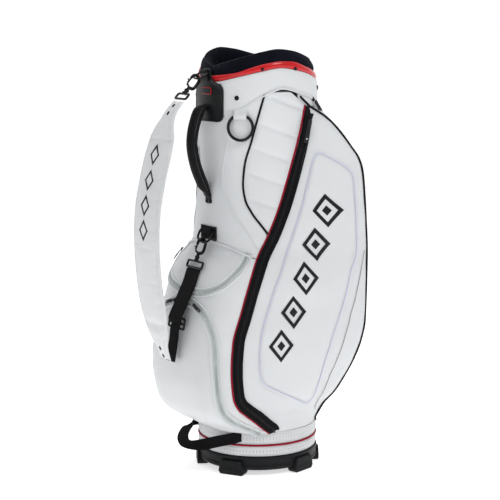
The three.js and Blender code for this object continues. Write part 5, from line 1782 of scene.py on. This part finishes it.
def set_stage():
    """Pale floor, soft studio light and the camera."""
    scene = bpy.context.scene
    floor_mesh = bpy.data.meshes.new("floor")
    reach = 60.0
    floor_mesh.from_pydata([(-reach, -reach, 0), (reach, -reach, 0), (reach, reach, 0), (-reach, reach, 0)],
                           [],
                           [(0, 1, 2, 3)])
    floor = bpy.data.objects.new("floor", floor_mesh)
    scene.collection.objects.link(floor)
    paper = Finish("pale_paper", Specular_IOR_Level=0.1)
    paper.set("Base Color", paper.mix(paper.noise(2.0), (0.93, 0.93, 0.93, 1), (0.95, 0.95, 0.95, 1)))
    paper.shader.inputs["Roughness"].default_value = 0.9
    paper.shader.inputs["Emission Color"].default_value = (1, 1, 1, 1)
    paper.shader.inputs["Emission Strength"].default_value = 0.62
    floor_mesh.materials.append(paper.material)
    scene.world = light_world()
    for name, place, size, power, aim in (("key_light", (2.9, 0.2, 3.2), 1.4, 56, (0, 0, 0.5)),
                                          ("fill_light", (0.6, -3.6, 2.0), 2.0, 18, (0, 0, 0.5)),
                                          ("top_light", (-0.6, 0.2, 3.4), 2.4, 34, (0, 0, 0))):
        lamp = bpy.data.lights.new(name, "AREA")
        lamp.energy, lamp.shape, lamp.size = power, "DISK", size
        light = bpy.data.objects.new(name, lamp)
        light.location = place
        light.rotation_euler = (Vector(aim) - Vector(place)).to_track_quat("-Z", "Y").to_euler()
        scene.collection.objects.link(light)
    lens = bpy.data.cameras.new("camera")
    lens.lens, lens.sensor_width, lens.shift_x = 112.1, 36.0, -0.015
    camera = bpy.data.objects.new("camera", lens)
    camera.location = (2.801, -1.962, 1.015)
    pitch = math.radians(8.89)
    forward = Vector((-0.819 * math.cos(pitch), 0.574 * math.cos(pitch), -math.sin(pitch)))
    camera.rotation_euler = forward.to_track_quat("-Z", "Y").to_euler()
    scene.collection.objects.link(camera)
    scene.camera = camera
    scene.view_settings.view_transform = "Standard"


# ------------------------------------------------------------------ add-on
class StaffBagFinish(bpy.types.PropertyGroup):
    leather: FloatVectorProperty(name="Leather", description="Colour of the white leather cloth",
                                 subtype="COLOR",
                                 size=3, min=0, max=1, default=(0.66, 0.675, 0.69))
    webbing: FloatVectorProperty(name="Webbing", description="Colour of the webbing and black pipings",
                                 subtype="COLOR",
                                 size=3, min=0, max=1, default=(0.006, 0.006, 0.007))
    plastic: FloatVectorProperty(name="Plastic", description="Colour of the moulded plastic pieces",
                                 subtype="COLOR",
                                 size=3, min=0, max=1, default=(0.007, 0.0075, 0.0085))
    piping: FloatVectorProperty(name="Piping", description="Colour of the crimson pipings", subtype="COLOR",
                                size=3,
                                min=0, max=1, default=(0.3, 0.006, 0.025))
    band: FloatVectorProperty(name="Band", description="Colour of the glossy band under the collar",
                              subtype="COLOR",
                              size=3, min=0, max=1, default=(0.52, 0.012, 0.015))
    collar: FloatVectorProperty(name="Collar", description="Colour of the fleece collar", subtype="COLOR",
                                size=3,
                                min=0, max=1, default=(0.0045, 0.005, 0.009))
    quilt_depth: FloatProperty(name="Quilt depth",
                               description="How deep the sewn channels of the side panels are",
                               unit="LENGTH", subtype="DISTANCE", min=0, max=0.008, default=0.0034)


class StaffBagStage(bpy.types.Operator):
    """Sets the pale floor, the studio light and the camera"""
    bl_idname = "staffbag.stage"
    bl_label = "Stage"

    def execute(self, context):
        set_stage()
        return {"FINISHED"}


class StaffBagBase(bpy.types.Operator):
    """Moulds the base, its feet and the pad under it"""
    bl_idname = "staffbag.base"
    bl_label = "Base"

    def execute(self, context):
        mould_base()
        return {"FINISHED"}


class StaffBagBaseBands(bpy.types.Operator):
    """Wraps the base in its leather bands and piping"""
    bl_idname = "staffbag.base_bands"
    bl_label = "Base bands"

    def execute(self, context):
        wrap_base()
        return {"FINISHED"}


class StaffBagBarrel(bpy.types.Operator):
    """Finishes the barrel, the mouth ring and the dividers"""
    bl_idname = "staffbag.barrel"
    bl_label = "Barrel and dividers"

    def execute(self, context):
        fit_barrel()
        return {"FINISHED"}


class StaffBagCollar(bpy.types.Operator):
    """Pads the fleece collar"""
    bl_idname = "staffbag.collar"
    bl_label = "Collar"

    def execute(self, context):
        pad_collar()
        return {"FINISHED"}


class StaffBagCuff(bpy.types.Operator):
    """Sews the cuff and fits the glossy band and the studs"""
    bl_idname = "staffbag.cuff"
    bl_label = "Cuff and band"

    def execute(self, context):
        sew_cuff()
        return {"FINISHED"}


class StaffBagFront(bpy.types.Operator):
    """Sews the plain leather panels"""
    bl_idname = "staffbag.front"
    bl_label = "Front, back and side panels"

    def execute(self, context):
        sew_front()
        return {"FINISHED"}


class StaffBagPockets(bpy.types.Operator):
    """Sews and fills the ball pocket and the accessory pocket"""
    bl_idname = "staffbag.pockets"
    bl_label = "Front pockets"

    def execute(self, context):
        sew_pockets()
        return {"FINISHED"}


class StaffBagQuilting(bpy.types.Operator):
    """Quilts the side panels"""
    bl_idname = "staffbag.quilting"
    bl_label = "Quilted sides"

    def execute(self, context):
        quilt_sides()
        return {"FINISHED"}


class StaffBagApparel(bpy.types.Operator):
    """Fills the large pockets at the sides"""
    bl_idname = "staffbag.apparel"
    bl_label = "Apparel pockets"

    def execute(self, context):
        pad_apparel()
        return {"FINISHED"}


class StaffBagPipings(bpy.types.Operator):
    """Lays the cords in the seams"""
    bl_idname = "staffbag.pipings"
    bl_label = "Pipings and welts"

    def execute(self, context):
        run_pipings()
        return {"FINISHED"}


class StaffBagZips(bpy.types.Operator):
    """Sets the zip tapes and their teeth"""
    bl_idname = "staffbag.zips"
    bl_label = "Zips"

    def execute(self, context):
        set_zips()
        return {"FINISHED"}


class StaffBagSliders(bpy.types.Operator):
    """Fits the sliders and their pulls"""
    bl_idname = "staffbag.sliders"
    bl_label = "Zip sliders"

    def execute(self, context):
        fit_sliders()
        return {"FINISHED"}


class StaffBagPlate(bpy.types.Operator):
    """Fixes the blank plate and its tag"""
    bl_idname = "staffbag.plate"
    bl_label = "Name plate"

    def execute(self, context):
        fix_plate()
        return {"FINISHED"}


class StaffBagRings(bpy.types.Operator):
    """Fixes the rings that the strap clips to"""
    bl_idname = "staffbag.rings"
    bl_label = "Strap rings"

    def execute(self, context):
        fix_rings()
        return {"FINISHED"}


class StaffBagHandle(bpy.types.Operator):
    """Pads the lift handle and rivets its foot"""
    bl_idname = "staffbag.handle"
    bl_label = "Lift handle"

    def execute(self, context):
        pad_handle()
        return {"FINISHED"}


class StaffBagHooks(bpy.types.Operator):
    """Bends the strap's snap hooks and eyes"""
    bl_idname = "staffbag.hooks"
    bl_label = "Snap hooks"

    def execute(self, context):
        fit_hooks()
        return {"FINISHED"}


class StaffBagStrap(bpy.types.Operator):
    """Pads the shoulder strap and lays its webbing and slide"""
    bl_idname = "staffbag.strap"
    bl_label = "Shoulder strap"

    def execute(self, context):
        pad_strap()
        lay_webbing()
        mould_slide()
        return {"FINISHED"}


class StaffBagTowelRing(bpy.types.Operator):
    """Hangs the towel ring on its tab"""
    bl_idname = "staffbag.towel_ring"
    bl_label = "Towel ring"

    def execute(self, context):
        hang_towel_ring()
        return {"FINISHED"}


class StaffBagGrabLoop(bpy.types.Operator):
    """Sews the grab loop at the foot"""
    bl_idname = "staffbag.grab_loop"
    bl_label = "Grab loop"

    def execute(self, context):
        sew_grab_loop()
        return {"FINISHED"}


class StaffBagMotif(bpy.types.Operator):
    """Prints the plain diamonds"""
    bl_idname = "staffbag.motif"
    bl_label = "Motif"

    def execute(self, context):
        print_motif()
        return {"FINISHED"}


MAKERS = (StaffBagStage, StaffBagBase, StaffBagBaseBands, StaffBagBarrel, StaffBagCollar, StaffBagCuff,
          StaffBagFront, StaffBagPockets, StaffBagQuilting, StaffBagApparel, StaffBagPipings, StaffBagZips,
          StaffBagSliders, StaffBagPlate, StaffBagRings, StaffBagHandle, StaffBagHooks, StaffBagStrap,
          StaffBagTowelRing, StaffBagGrabLoop, StaffBagMotif)


class StaffBagPanel(bpy.types.Panel):
    """Lists every piece of the bag"""
    bl_idname = "VIEW3D_PT_staff_bag"
    bl_label = "Staff bag"
    bl_space_type = "VIEW_3D"
    bl_region_type = "UI"
    bl_category = "Staff bag"

    def draw(self, context):
        for name in StaffBagFinish.__annotations__:
            self.layout.prop(context.scene.bag_finish, name)
        for maker in MAKERS:
            self.layout.operator(maker.bl_idname)


CLASSES = (StaffBagFinish, *MAKERS, StaffBagPanel)


def register():
    for cls in CLASSES:
        bpy.utils.register_class(cls)
    bpy.types.Scene.bag_finish = PointerProperty(type=StaffBagFinish)


def unregister():
    del bpy.types.Scene.bag_finish
    for cls in reversed(CLASSES):
        bpy.utils.unregister_class(cls)


def main():
    register()
    for maker in MAKERS:
        group, name = maker.bl_idname.split(".")
        getattr(getattr(bpy.ops, group), name)()


if __name__ == "__main__":
    main()
